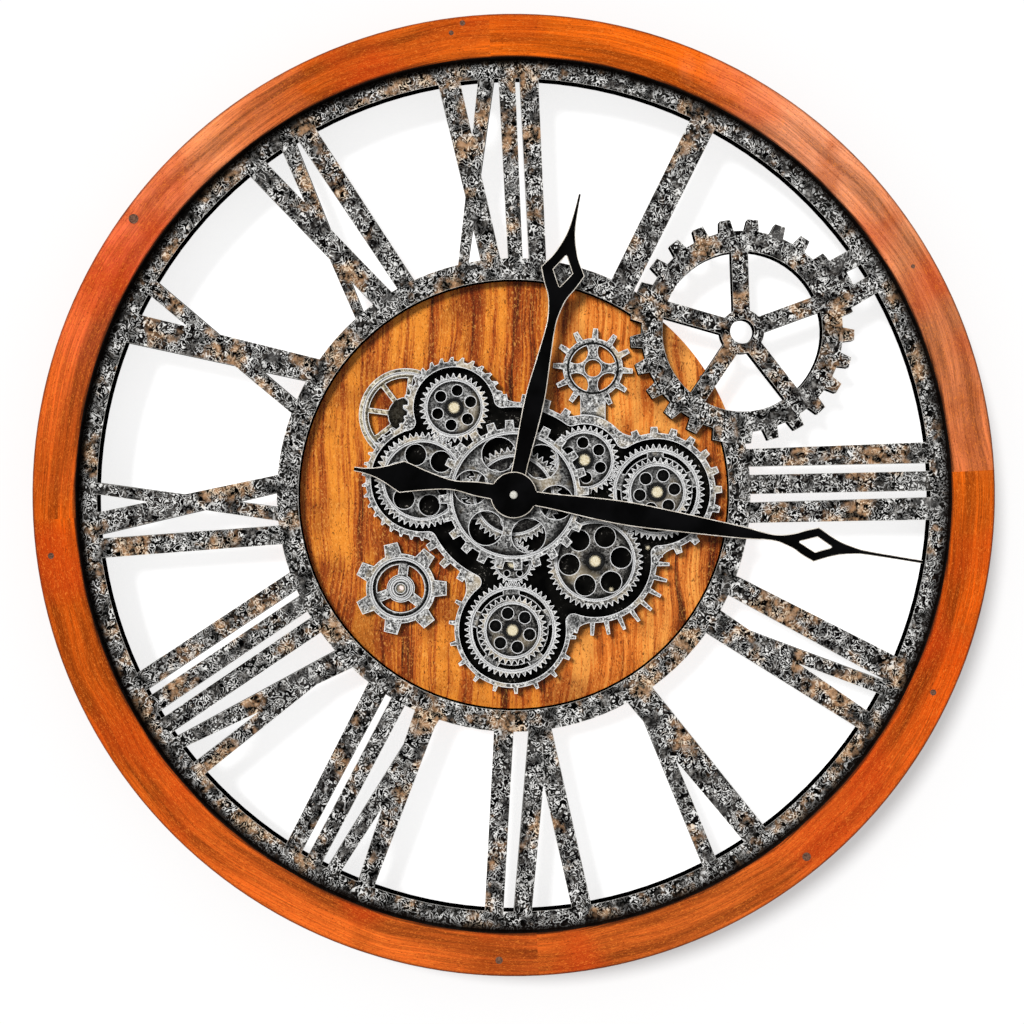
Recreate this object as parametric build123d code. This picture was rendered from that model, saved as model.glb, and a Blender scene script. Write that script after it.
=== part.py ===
"""Wall clock with a wooden rim, a cut-out numeral plate and a train of open gears.

The clock is modelled lying on its back: X to the right, Y up the dial and Z towards the viewer,
with the wall at Z = 0 and the hands' axis at X = Y = 0. export_nodes stands it up, so that the
dial faces -Y and +Z is up, with the origin on the hands' axis half-way through the depth.
Lengths are in millimetres and angles in degrees. Angles named "clock" run clockwise from twelve,
all others run counter-clockwise from three o'clock.
"""
from build123d import *
import os
from collections import namedtuple
from math import acos, atan2, cos, degrees, hypot, pi, radians, sin, sqrt, tan

# Wooden rim, four quarter segments butted and glued, with a rebate behind for the dial plate
rim_outer_radius = 298.0
rim_band_width = 27.3
rim_depth = 38.0
rim_lip_depth = 6.0
rim_rebate_width = 8.0
rim_edge_round = 2.0
rim_inner_edge_round = 1.2
rim_segment_count = 4
rim_first_seam_angle = 3.0
rim_nail_radius = 1.9
rim_nail_length = 14.0
rim_inner_radius = rim_outer_radius - rim_band_width
rim_rebate_radius = rim_inner_radius + rim_rebate_width
# Nail heads in the face of the rim: clock angle, share of the band's width, share of the radius
rim_nail_shares = (
    (306.0, 0.28, 1.6), (352.3, 0.36, 0.8), (353.8, 0.17, 0.9), (262.5, 0.35, 1.0),
    (181.8, 0.38, 1.2), (141.0, 0.38, 1.4), (115.2, 0.42, 1.0), (60.2, 0.5, 0.7),
)

# Numeral plate, one cut sheet
plate_thickness = 8.0
plate_rebate_clearance = 0.4
plate_outer_ring_width = 11.2
plate_inner_ring_width = 13.3
plate_hole_radius = 134.2
numeral_root_share = 0.05
plate_radius = rim_rebate_radius - plate_rebate_clearance
plate_window_outer_radius = rim_inner_radius - plate_outer_ring_width
plate_window_inner_radius = plate_hole_radius + plate_inner_ring_width
plate_front = rim_depth - rim_lip_depth
plate_back = plate_front - plate_thickness
# Strokes of the Roman numerals. Each one runs straight from the inner ring to the outer ring:
# its two edges on the inner circle, then on the outer, as clock angles from the hour's own mark.
numeral_strokes = {
    12: ((-8.0, -3.2, -10.4, -7.4), (-13.6, -11.1, -4.9, -2.7), (-1.4, 2.2, -2.1, 0.2), (3.7, 7.9, 0.8, 3.4)),
    1: ((-5.6, 0.5, -4.8, -1.2),),
    2: ((-12.6, -8.0, -6.1, -3.6), (-3.5, 2.2, -1.7, 0.9)),
    3: ((-11.2, -6.9, -7.3, -4.4), (-4.9, -0.2, -3.3, -0.6), (1.8, 6.8, 0.3, 3.4)),
    4: ((-10.1, -5.0, -7.1, -3.5), (1.3, 4.8, -3.4, -1.5), (-0.9, 5.7, 1.4, 4.1)),
    5: ((-5.8, 1.3, -7.1, -3.6), (-4.3, -0.6, 0.9, 3.0)),
    6: ((-9.2, -4.3, -10.7, -8.0), (-8.5, -3.6, -2.5, 0.0), (0.0, 4.8, 1.4, 4.0)),
    7: ((-11.3, -5.3, -10.4, -8.0), (-11.7, -7.4, -5.3, -3.4), (-2.7, 1.1, -2.5, -0.3), (2.7, 7.8, 0.7, 3.1)),
    8: ((-14.7, -11.6, -12.1, -9.9), (-16.9, -11.1, -7.4, -5.6), (-5.5, -1.1, -4.8, -2.4),
        (0.6, 4.9, -1.4, 1.1), (6.4, 11.0, 2.0, 4.7)),
    9: ((-12.0, -7.4, -8.7, -6.0), (0.5, 4.9, -5.5, -2.4), (-6.3, -2.9, 0.1, 1.7)),
    10: ((-1.2, 5.0, -8.5, -4.3), (-9.8, -6.4, -1.2, 0.9)),
    11: ((-6.4, -1.0, -9.6, -6.7), (-11.9, -9.4, -3.9, -1.7), (0.6, 5.2, -1.3, 1.6)),
}

# Large spoked gear cut in the plate in place of most of the numeral II
dial_gear_clock_angle = 54.4
dial_gear_tooth_count = 25
dial_gear_tooth_height = 7.1
dial_gear_tip_clearance = 14.6
dial_gear_bridge = 5.0
dial_gear_tooth_base_share = 0.6346
dial_gear_tooth_tip_share = 0.4188
dial_gear_rim_width = 12.8
dial_gear_hub_radius = 13.7
dial_gear_hole_radius = 7.5
dial_gear_spoke_width = 10.4
dial_gear_spoke_count = 5
dial_gear_spoke_phase = 92.0
dial_gear_tooth_phase = 84.6
dial_gear_overhang = 28.9
dial_gear_far_reach = plate_window_outer_radius - dial_gear_tip_clearance
dial_gear_near_reach = plate_hole_radius - dial_gear_overhang
dial_gear_tip_radius = (dial_gear_far_reach - dial_gear_near_reach) / 2
dial_gear_root_radius = dial_gear_tip_radius - dial_gear_tooth_height
dial_gear_pitch = 2 * pi * dial_gear_root_radius / dial_gear_tooth_count
dial_gear_tooth_base = dial_gear_pitch * dial_gear_tooth_base_share
dial_gear_tooth_tip = dial_gear_pitch * dial_gear_tooth_tip_share
dial_gear_distance = plate_hole_radius + dial_gear_tip_radius - dial_gear_overhang

# Centre disc, four boards glued side by side and screwed behind the plate's inner ring
disc_thickness = 6.0
disc_ring_overlap = 9.5
disc_seam_shares = (-0.348, 0.139, 0.612)
disc_radius = plate_hole_radius + disc_ring_overlap
disc_front = plate_back
disc_back = disc_front - disc_thickness

# Wood screws: dial plate into the rim's lip, boards into the plate's inner ring
screw_radius = 1.5
screw_head_radius = 3.0
screw_head_height = 1.8
screw_bite = 4.5
plate_screw_count = 12
plate_screw_phase = 15.0
disc_screw_clock_angles = (336.5, 0.0, 23.0, 58.0, 122.0, 157.0, 180.0, 203.5, 245.0, 295.0)

# Gear train: plain spur gears on pins. The tooth counts and the directions from one centre to
# the next come from the photograph's face; the distances follow from the module.
gear_module = 1.2
gear_pressure_angle = 25.0
gear_addendum = 1.0
gear_dedendum = 1.2
gear_backlash = 0.16
gear_thickness = 2.8
large_gear_teeth = 48
small_gear_teeth = 34
idler_gear_teeth = 22
gear_end_play = 0.1
bearing_clearance = 0.05
groove_width = 0.9
groove_depth = 0.5
upper_right_angle = 26.3
right_angle = -24.0
lower_right_angle = 228.3
left_angle = 170.7
upper_left_angle = 66.4
bottom_angle = -90.5

# Black tray: floor and hollow posts that carry the gears
tray_floor = 2.0
post_height = 2.0
post_radius = 4.2
pin_radius = 2.0
pin_washer_radius = 5.6
pin_washer_thickness = 0.4
pin_head_radius = 3.9
pin_head_height = 0.8
floor_screw_radius = 1.6
floor_screw_right = 84.0
floor_screw_drop = 33.0

# Top gears stacked on the right and bottom gears
stack_thickness = 3.0

# Cog wheel before the centre gear
cog_count = 24
cog_tip_radius = 46.5
cog_height = 5.0
cog_base_width = 6.0
cog_tip_width = 4.9
cog_phase = 3.4
cog_thickness = 3.5
cog_stand_off = 1.6
cog_hub_radius = 13.0
cog_root_radius = cog_tip_radius - cog_height

# Bezel and its lobes
bezel_height = 6.0
bezel_band = 3.4
bezel_tooth = 5.0
bezel_seat_clearance = 0.15
recess_corner_round = 5.0
bezel_corner_round = 15.0

# Depths from the wall
tray_back = disc_front
tray_top = tray_back + tray_floor
post_top = tray_top + post_height
gear_back = post_top + gear_end_play
gear_front = gear_back + gear_thickness
stack_front = gear_front + stack_thickness
cog_back = gear_front + cog_stand_off
cog_front = cog_back + cog_thickness
pin_foot = tray_back + tray_floor / 4
bezel_back = tray_top
bezel_front = bezel_back + bezel_height

# Flywheel, small cog and corner cog beside the lobes
flywheel_radius = 29.3
flywheel_rim_width = 6.0
flywheel_hub_radius = 11.2
flywheel_spoke_width = 3.2
flywheel_spoke_count = 8
flywheel_spoke_phase = 37.5
flywheel_height = 4.4
flywheel_clock_angle = 306.5
flywheel_distance = 84.0
small_cog_tip_radius = 24.9
small_cog_body_radius = 18.7
small_cog_tooth_base = 4.0
small_cog_tooth_tip = 2.9
small_cog_tooth_count = 12
small_cog_tooth_phase = 86.0
small_cog_window_radius = 14.6
small_cog_lens_radius = 7.4
small_cog_hole_radius = 5.3
small_cog_clock_angle = 32.0
small_cog_distance = 93.4
small_cog_height = 5.0
small_cog_tab_width = 15.6
corner_cog_tip_radius = 28.6
corner_cog_body_radius = 21.7
corner_cog_tooth_base = 10.6
corner_cog_tooth_tip = 8.6
corner_cog_tooth_count = 7
corner_cog_tooth_phase = 0.0
corner_cog_window_outer = 14.9
corner_cog_window_inner = 8.7
corner_cog_spoke_width = 6.0
corner_cog_spoke_phase = 82.0
corner_cog_boss_radius = 5.0
corner_cog_hole_radius = 2.9
corner_cog_clock_angle = 230.4
corner_cog_distance = 91.6
corner_cog_height = 5.0
corner_cog_boss_height = 1.2
corner_cog_groove_width = 1.2
rivet_wall = 1.1

# Hands
hand_thickness = 1.0
hand_gap = 1.8
minute_length = 254.6
minute_tail = 99.5
minute_spade_width = 21.5
minute_tail_width = 19.9
minute_hub_radius = 14.3
minute_clock_angle = 99.3
hour_length = 190.0
hour_spade_width = 27.6
hour_hub_radius = 9.5
hour_clock_angle = 12.4
# Outlines: share of the length, share of half the greatest width
minute_blade_shares = (
    (0.0, 0.42), (0.087, 0.44), (0.2, 0.62), (0.289, 0.68), (0.398, 0.57), (0.554, 0.36),
    (0.634, 0.19), (0.68, 0.4), (0.711, 0.73), (0.74, 1.0),
)
minute_point_shares = ((0.74, 1.0), (0.79, 0.46), (0.84, 0.18), (0.887, 0.11), (1.0, 0.09))
minute_window_shares = ((0.698, 0.0), (0.74, 0.43), (0.779, 0.0))
minute_neck_shares = ((0.0, 0.5), (0.22, 0.46), (0.38, 0.31), (0.53, 0.56), (0.7, 1.0))
minute_tail_shares = ((0.7, 1.0), (0.83, 0.42), (0.93, 0.18), (1.0, 0.13))
hour_blade_shares = (
    (0.0, 0.38), (0.1, 0.34), (0.235, 0.43), (0.336, 0.44), (0.45, 0.32), (0.552, 0.22),
    (0.6, 0.25), (0.655, 0.42), (0.70, 0.74), (0.743, 1.0),
)
hour_point_shares = ((0.743, 1.0), (0.8, 0.52), (0.87, 0.2), (0.94, 0.09), (1.0, 0.05))
hour_window_shares = ((0.69, 0.0), (0.743, 0.44), (0.797, 0.0))

# Bush, tube and shaft of the hands
bush_radius = 4.0
bush_bore_radius = 2.6
bush_flange_radius = 6.5
bush_flange_thickness = 1.0
bush_nut_flats = 11.0
bush_nut_thickness = 2.0
centre_boss_radius = 7.0
hour_tube_radius = 2.5
hour_tube_bore = 1.65
minute_shaft_radius = 1.5
cap_radius = 2.5
cap_height = 2.4
nut_hand_gap = 0.6

# Quartz movement behind the boards
movement_width = 56.0
movement_above = 21.0
movement_below = 35.0
movement_wall = 1.3
movement_depth = 16.0
movement_gasket = 0.8
movement_corner_round = 3.0
gasket_radius = 9.0
battery_radius = 7.15
battery_length = 50.5
battery_nub_radius = 2.7
battery_nub_length = 1.0
battery_play = 0.25
cover_inset = 2.2
cover_thickness = 1.2
cover_play = 0.1
motion_module = 0.3
cannon_teeth = 12
minute_wheel_teeth = 36
minute_pinion_teeth = 10
hour_wheel_teeth = 40
motion_backlash = 0.07
motion_wheel_thickness = 1.3
motion_wheel_angle = 150.0
motion_end_play = 0.25
motion_pin_radius = 0.6
knob_radius = 5.5
knob_rib_count = 20
knob_rib_height = 0.5
knob_thickness = 1.7
knob_shaft_radius = 1.2
coil_radius = 3.6
coil_length = 17.0
coil_core_radius = 1.0
coil_core_overhang = 3.0
board_length = 30.0
board_width = 9.0
board_thickness = 1.0
contact_thickness = 0.4
contact_width = 9.0

# Geared motor that turns the train, behind the boards below the movement
drive_depth = 16.0
drive_left = 15.5
drive_right = 82.0
drive_half_height = 16.0
drive_wall = 1.4
drive_partition = 26.5
drive_module = 0.5
drive_wheel_teeth = 40
drive_pinion_teeth = 10
drive_backlash = 0.1
drive_wheel_thickness = 2.0
drive_wheel_back = 5.0
motor_radius = 8.0
motor_height = 5.6
motor_shaft_radius = 0.75
motor_direction = 20.0
ear_length = 8.0
ear_width = 10.0
ear_thickness = 3.0
switch_travel = 4.0
switch_nub_length = 3.0
switch_nub_width = 2.4
switch_nub_height = 0.8
switch_slot_clearance = 0.2
switch_slider_length = 7.0
switch_slider_width = 4.6
switch_slider_thickness = 1.4
switch_body_length = 13.0
switch_body_width = 5.6
switch_body_height = 3.2
switch_right_share = 0.62
switch_down_share = 0.6

# Hanging plate let into the back of the rim at twelve
hanger_length = 46.0
hanger_height = 14.0
hanger_thickness = 1.5
hanger_hole_radius = 4.5
hanger_slot_radius = 2.1
hanger_slot_rise = 3.6
hanger_hollow_radius = 4.9
hanger_hollow_rise = 3.8
hanger_hollow_depth = 9.0
hanger_clearance = 0.1
hanger_screw_inset = 5.0
hanger_screw_length = 12.0
hanger_screw_head = 0.8

overrun = 1.0

Wheel = namedtuple("Wheel", "teeth centre phase")
Lobe = namedtuple("Lobe", "wheel recess band height teeth base tip phase lean")


def on_clock(radius, clock_angle):
    """Point at a radius and a clockwise angle from twelve."""
    return (radius * sin(radians(clock_angle)), radius * cos(radians(clock_angle)))


def polar(radius, angle, centre=(0, 0)):
    """Point at a radius and a counter-clockwise angle round a centre."""
    return (centre[0] + radius * cos(radians(angle)), centre[1] + radius * sin(radians(angle)))


def disc(radius, centre=(0, 0)):
    """Flat round face."""
    return Pos(*centre) * Circle(radius)


def outline(points):
    """Flat face inside straight lines through the points."""
    return make_face(Polyline(*points, close=True))


def slab(face, back, front):
    """Flat face thickened between two depths."""
    return Pos(0, 0, back) * extrude(face, amount=front - back, dir=(0, 0, 1))


def rod(radius, back, front, centre=(0, 0)):
    """Round bar along the depth."""
    return slab(disc(radius, centre), back, front)


def ring_of(shape, centre, radius, count, phase=0.0):
    """Copies of a face, drawn pointing along +X, spaced evenly round a centre."""
    step = 360.0 / count
    return [Pos(*centre) * Rot(0, 0, phase + step * k) * Pos(radius, 0) * shape for k in range(count)]


def box_between(low, high, back, front):
    """Block between two corners of the face and two depths."""
    width = high[0] - low[0]
    height = high[1] - low[1]
    face = Pos(low[0] + width / 2, low[1] + height / 2) * Rectangle(width, height)
    return slab(face, back, front)


def cog_outline(count, root_radius, tip_radius, base_width, tip_width, phase, centre=(0, 0), lean=0.0):
    """Disc with trapezoid cogs. lean shifts each tip sideways by a share of the base's width."""
    half_base = base_width / 2
    half_tip = tip_width / 2
    shift = lean * base_width
    foot = sqrt(root_radius ** 2 - half_base ** 2) * (1 - numeral_root_share)
    tooth = outline([
        (foot, -half_base), (tip_radius, shift - half_tip), (tip_radius, shift + half_tip), (foot, half_base)])
    return disc(root_radius, centre) + ring_of(tooth, centre, 0, count, phase)


def involute(angle):
    """Involute function of an angle in radians."""
    return tan(angle) - angle


def gear_radius(teeth, module=gear_module):
    """Pitch radius."""
    return module * teeth / 2


def gear_tip(teeth, module=gear_module):
    """Tip radius."""
    return gear_radius(teeth, module) + gear_addendum * module


def gear_outline(wheel, module=gear_module, backlash=gear_backlash):
    """Spur gear face. Each flank is the chord of its involute between root and tip."""
    pitch_radius = gear_radius(wheel.teeth, module)
    base_radius = pitch_radius * cos(radians(gear_pressure_angle))
    root_radius = pitch_radius - gear_dedendum * module
    tip_radius = gear_tip(wheel.teeth, module)
    half_at_pitch = pi / 2 / wheel.teeth - backlash / 2 / pitch_radius

    def half_angle(radius):
        turned = involute(acos(base_radius / max(radius, base_radius)))
        return degrees(half_at_pitch + involute(radians(gear_pressure_angle)) - turned)

    points = []
    for k in range(wheel.teeth):
        middle = wheel.phase + 360.0 * k / wheel.teeth
        points.append(polar(root_radius, middle - half_angle(root_radius), wheel.centre))
        points.append(polar(tip_radius, middle - half_angle(tip_radius), wheel.centre))
        points.append(polar(tip_radius, middle + half_angle(tip_radius), wheel.centre))
        points.append(polar(root_radius, middle + half_angle(root_radius), wheel.centre))
    return outline(points)


def meshed(driver, teeth, angle, module=gear_module, driver_module=None):
    """Gear in mesh with a driver, at an angle from its centre."""
    reach = gear_radius(driver.teeth, module) + gear_radius(teeth, module)
    centre = polar(reach, angle, driver.centre)
    driver_pitch = 360.0 / driver.teeth
    own_pitch = 360.0 / teeth
    phase = angle + 180.0 - own_pitch * ((driver.phase - angle) / driver_pitch + 0.5)
    return Wheel(teeth, centre, phase)


centre_wheel = Wheel(large_gear_teeth, (0, 0), 0.0)
upper_right_wheel = meshed(centre_wheel, small_gear_teeth, upper_right_angle)
right_wheel = meshed(upper_right_wheel, large_gear_teeth, right_angle)
lower_right_wheel = meshed(right_wheel, large_gear_teeth, lower_right_angle)
left_wheel = meshed(centre_wheel, large_gear_teeth, left_angle)
upper_left_wheel = meshed(left_wheel, small_gear_teeth, upper_left_angle)
idler_wheel = meshed(centre_wheel, idler_gear_teeth, bottom_angle)
bottom_wheel = meshed(idler_wheel, large_gear_teeth, bottom_angle)
pinned_wheels = (
    upper_left_wheel, left_wheel, upper_right_wheel, right_wheel, lower_right_wheel, idler_wheel)
stacked_wheels = (right_wheel, bottom_wheel)

# Lobes of the tray. recess is a share of the wheel's tip radius, band and height are shares of
# the bezel's band and tooth, base and tip are the cog's widths as shares of the bezel's tooth.
lobe_shares = (
    Lobe(None, 1.178, 0.93, 1.0, 28, 1.1, 0.9, 6.0, 0.0),
    Lobe(upper_left_wheel, 1.17, 1.0, 0.56, 29, 0.9, 0.3, 8.0, -0.35),
    Lobe(left_wheel, 1.07, 0.95, 0.48, 34, 0.8, 0.25, 4.0, 0.2),
    Lobe(bottom_wheel, 1.113, 0.8, 0.74, 18, 0.62, 0.4, 13.2, 0.0),
    Lobe(lower_right_wheel, 1.163, 1.0, 1.6, 28, 0.62, 0.4, -2.4, 0.0),
    Lobe(right_wheel, 1.107, 1.04, 0.78, 20, 1.05, 0.8, 2.4, 0.0),
    Lobe(upper_right_wheel, 1.035, 1.7, 0.0, 0, 0.0, 0.0, 0.0, 0.0),
)
bottom_centre = bottom_wheel.centre
drive_floor = disc_back - drive_depth
movement_front = disc_back - movement_gasket
movement_back = movement_front - movement_depth
nut_back = cog_front + gear_end_play * 2
nut_front = nut_back + bush_nut_thickness
hour_hand_back = nut_front + nut_hand_gap
hour_hand_front = hour_hand_back + hand_thickness
minute_hand_back = hour_hand_front + hand_gap
minute_hand_front = minute_hand_back + hand_thickness
clock_front = minute_hand_front + cap_height


def lobe_centre(lobe):
    """Centre of a lobe: its wheel's centre, or the hands' axis."""
    return lobe.wheel.centre if lobe.wheel else (0, 0)


def lobe_recess(lobe):
    """Inner radius of a lobe."""
    return lobe.recess * (gear_tip(lobe.wheel.teeth) if lobe.wheel else cog_tip_radius)


def union(faces):
    """One face from several."""
    return faces[0] + faces[1:]


def lobed(rounds, corner_round):
    """Outline round overlapping discs, without the gaps that they enclose, its hollow corners rounded."""
    outer_edges = union(rounds).face().outer_wire().edges()
    face = make_face(outer_edges)
    return fillet(face.vertices(), corner_round)


def recess_face():
    """Inside of the tray: the lobes' inner circles, with rounded hollow corners."""
    return lobed([disc(lobe_recess(p), lobe_centre(p)) for p in lobe_shares], recess_corner_round)


def bezel_root_face(margin=0):
    """Outside of the bezel's band without its cogs, with a margin round it."""
    rounds = [disc(lobe_recess(p) + p.band * bezel_band + margin, lobe_centre(p)) for p in lobe_shares]
    return lobed(rounds, bezel_corner_round)


def bezel_cogs(margin=0):
    """Cogs round the bezel, one lobe after the other, with a margin round them."""
    faces = []
    for lobe in lobe_shares:
        if not lobe.teeth:
            continue
        root = lobe_recess(lobe) + lobe.band * bezel_band + margin
        faces.append(cog_outline(
            lobe.teeth, root, root + lobe.height * bezel_tooth, lobe.base * bezel_tooth + margin * 2,
            lobe.tip * bezel_tooth + margin * 2, lobe.phase, lobe_centre(lobe), lobe.lean))
    return faces


def bezel_clearance_face():
    """Bezel with its cogs and a small clearance round them, as neighbours are cut back to it."""
    return union([bezel_root_face(bezel_seat_clearance)] + bezel_cogs(bezel_seat_clearance))


def rim_segments():
    """Four quarter segments with a rounded face, a rebate behind and square butted ends."""
    middle = (rim_outer_radius + rim_inner_radius) / 2
    profile = Pos(middle, rim_depth / 2) * Rectangle(rim_band_width, rim_depth)
    front = profile.vertices().group_by(Axis.Y)[-1]
    profile = fillet(front.sort_by(Axis.X)[-1], rim_edge_round)
    front = profile.vertices().group_by(Axis.Y)[-1]
    profile = fillet(front.sort_by(Axis.X)[0], rim_inner_edge_round)
    rebate_height = rim_depth - rim_lip_depth
    rebate = Pos(rim_inner_radius, rebate_height / 2) * Rectangle(rim_rebate_width * 2, rebate_height)
    section = Plane.XZ * (profile - rebate)
    arc = 360.0 / rim_segment_count
    pocket = hanger_pocket()
    driven = rim_nails().solids() + plate_screws().solids() + hanger_screws().solids()
    segments = []
    for k in range(rim_segment_count):
        piece = Rot(0, 0, rim_first_seam_angle + arc * k) * revolve(section, Axis.Z, arc)
        segments.append(piece - pocket - driven)
    return segments


def rim_nails():
    """Headless nails driven through the face of the rim."""
    nails = []
    for clock_angle, band_share, radius_share in rim_nail_shares:
        centre = on_clock(rim_outer_radius - band_share * rim_band_width, clock_angle)
        nails.append(rod(rim_nail_radius * radius_share, rim_depth - rim_nail_length, rim_depth, centre))
    return Compound(children=nails)


def numeral_stroke(hour, stroke):
    """One straight stroke of a numeral, run a little way into both rings."""
    inner_from, inner_to, outer_from, outer_to = stroke
    mark = 30.0 * hour
    corners = []
    for inner, outer in ((inner_from, outer_from), (inner_to, outer_to)):
        near = on_clock(plate_window_inner_radius, mark + inner)
        far = on_clock(plate_window_outer_radius, mark + outer)
        run = (far[0] - near[0], far[1] - near[1])
        start = (near[0] - run[0] * numeral_root_share, near[1] - run[1] * numeral_root_share)
        end = (far[0] + run[0] * numeral_root_share, far[1] + run[1] * numeral_root_share)
        corners.append((start, end))
    (a, b), (c, d) = corners
    return outline([a, b, d, c])


def dial_gear_faces():
    """Toothed gear of the plate and the windows between its spokes."""
    centre = on_clock(dial_gear_distance, dial_gear_clock_angle)
    body = cog_outline(
        dial_gear_tooth_count, dial_gear_root_radius, dial_gear_tip_radius,
        dial_gear_tooth_base, dial_gear_tooth_tip, dial_gear_tooth_phase, centre)
    rim_inner = dial_gear_root_radius - dial_gear_rim_width
    window = disc(rim_inner, centre) - disc(dial_gear_hub_radius, centre)
    spoke = Pos(rim_inner / 2, 0) * Rectangle(rim_inner + dial_gear_rim_width, dial_gear_spoke_width)
    window = window - ring_of(spoke, centre, 0, dial_gear_spoke_count, dial_gear_spoke_phase)
    return body, window + disc(dial_gear_hole_radius, centre)


def dial_plate():
    """Rings, numerals and the large gear, cut from one sheet."""
    outer_ring = disc(plate_radius) - disc(plate_window_outer_radius)
    inner_ring = disc(plate_window_inner_radius) - disc(plate_hole_radius)
    strokes = []
    for hour, hour_strokes in numeral_strokes.items():
        strokes += [numeral_stroke(hour, stroke) for stroke in hour_strokes]
    gear, openings = dial_gear_faces()
    gear_centre = on_clock(dial_gear_distance, dial_gear_clock_angle)
    first, last = numeral_strokes[2]
    whole_two = numeral_stroke(2, (first[0], last[1], first[2], last[3]))
    bridge = whole_two & disc(dial_gear_tip_radius + dial_gear_bridge, gear_centre)
    cleared = disc(dial_gear_root_radius - overrun, gear_centre)
    sheet = outer_ring + [inner_ring - cleared, union(strokes) - cleared, bridge - cleared, gear]
    plate = slab(sheet - openings, plate_back, plate_front)
    return plate - plate_screws().solids() - disc_screws().solids()


def screw(centre, head_back, tip):
    """Round-headed screw driven towards the viewer."""
    head = rod(screw_head_radius, head_back, head_back + screw_head_height, centre)
    return head + rod(screw_radius, head_back + screw_head_height, tip, centre)


def plate_screws():
    """Screws through the plate's edge into the lip of the rim."""
    middle = (rim_inner_radius + plate_radius) / 2
    step = 360.0 / plate_screw_count
    centres = [on_clock(middle, plate_screw_phase + step * k) for k in range(plate_screw_count)]
    back = plate_back - screw_head_height
    return Compound(children=[screw(p, back, plate_front + screw_bite) for p in centres])


def disc_screws():
    """Screws through the boards into the plate's inner ring."""
    middle = (plate_hole_radius + disc_radius) / 2
    centres = [on_clock(middle, angle) for angle in disc_screw_clock_angles]
    back = disc_back - screw_head_height
    return Compound(children=[screw(p, back, disc_front + screw_bite) for p in centres])


def centre_boards():
    """Four boards of the centre disc, bored for the bush, the arbor and the screws."""
    edges = [-1.0] + list(disc_seam_shares) + [1.0]
    holes = [
        rod(bush_radius + bearing_clearance, disc_back, disc_front),
        rod(post_radius, disc_back, disc_front, bottom_centre),
        rod(corner_cog_hole_radius, disc_back, disc_front, on_clock(corner_cog_distance, corner_cog_clock_angle)),
    ]
    driven = disc_screws().solids() + tray_screws().solids() + drive_screws().solids()
    boards = []
    for left, right in zip(edges, edges[1:]):
        strip = box_between(
            (left * disc_radius, -disc_radius), (right * disc_radius, disc_radius), disc_back, disc_front)
        board = rod(disc_radius, disc_back, disc_front) & strip
        boards.append(board - holes - driven)
    return boards


def tray_screw_centres():
    """One floor screw in view between two lobes, three more hidden under gears."""
    seen = (floor_screw_right, -floor_screw_drop)
    hidden = [polar(gear_radius(large_gear_teeth) * 0.72, angle, wheel.centre)
              for wheel, angle in ((left_wheel, 140.0), (lower_right_wheel, -60.0), (bottom_wheel, 200.0))]
    return [seen] + hidden


def tray_screws():
    """Small brass screws through the tray's floor into the boards."""
    pieces = []
    for centre in tray_screw_centres():
        head = rod(floor_screw_radius, tray_top, tray_top + pin_head_height, centre)
        pieces.append(head + rod(floor_screw_radius / 2, disc_front - screw_bite, tray_top, centre))
    return Compound(children=pieces)


def gear_tray():
    """Floor with a post for each pin and a tall boss round the hands' bush."""
    tray = slab(bezel_root_face(), tray_back, tray_top)
    tray += rod(centre_boss_radius, tray_back, nut_back)
    tray += [rod(post_radius, tray_back, post_top, w.centre) for w in pinned_wheels + (bottom_wheel,)]
    tray -= rod(bush_radius + bearing_clearance, tray_back, nut_back)
    tray -= [rod(pin_radius, pin_foot, post_top, w.centre) for w in pinned_wheels]
    tray -= rod(pin_radius + bearing_clearance, tray_back, post_top, bottom_centre)
    return tray - tray_screws().solids()


def small_cog_faces():
    """Small twelve-toothed cog on a tab at the top of the bezel."""
    centre = on_clock(small_cog_distance, small_cog_clock_angle)
    body = cog_outline(
        small_cog_tooth_count, small_cog_body_radius, small_cog_tip_radius,
        small_cog_tooth_base, small_cog_tooth_tip, small_cog_tooth_phase, centre)
    lens = disc(small_cog_window_radius, centre)
    windows = [lens & cut for cut in
               ring_of(Circle(small_cog_lens_radius), centre, small_cog_window_radius, 4, 45.0)]
    hole = disc(small_cog_hole_radius, centre)
    return centre, body - windows - hole


def cog_bezel():
    """Moulded surround: a toothed band round the lobes and the small cog on its tab."""
    recess = recess_face()
    band = bezel_root_face() + bezel_cogs()
    band = band - recess
    bezel = slab(band, bezel_back, bezel_front)
    centre, cog = small_cog_faces()
    top = tray_back + small_cog_height
    tab_low = upper_right_wheel.centre[1] + lobe_recess(lobe_shares[-1])
    half_tab = small_cog_tab_width / 2
    tab_high = centre[1] - small_cog_lens_radius * 2
    tab = box_between((centre[0] - half_tab, tab_low), (centre[0] + half_tab, tab_high), tray_back, top)
    keep = slab(recess + bezel_root_face(), tray_back, bezel_back)
    ornaments = slab(cog, tray_back, top) + (tab - slab(recess, tray_back, bezel_front))
    return bezel + (ornaments - keep)


def flywheel():
    """Eight-spoked flywheel let in beside the upper left lobes."""
    centre = on_clock(flywheel_distance, flywheel_clock_angle)
    rim_inner = flywheel_radius - flywheel_rim_width
    spoke = Pos(rim_inner / 2, 0) * Rectangle(rim_inner + flywheel_rim_width, flywheel_spoke_width)
    face = disc(flywheel_radius, centre) - disc(rim_inner, centre)
    face = face + [disc(flywheel_hub_radius, centre)] + ring_of(
        spoke, centre, 0, flywheel_spoke_count, flywheel_spoke_phase)
    middle = flywheel_radius - flywheel_rim_width / 2
    track = disc(middle + groove_width / 2, centre) - disc(middle - groove_width / 2, centre)
    kept_clear = bezel_clearance_face()
    front = tray_back + flywheel_height
    wheel = slab(face - kept_clear, tray_back, front - groove_depth)
    return wheel + slab(face - track - kept_clear, front - groove_depth, front)


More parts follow.
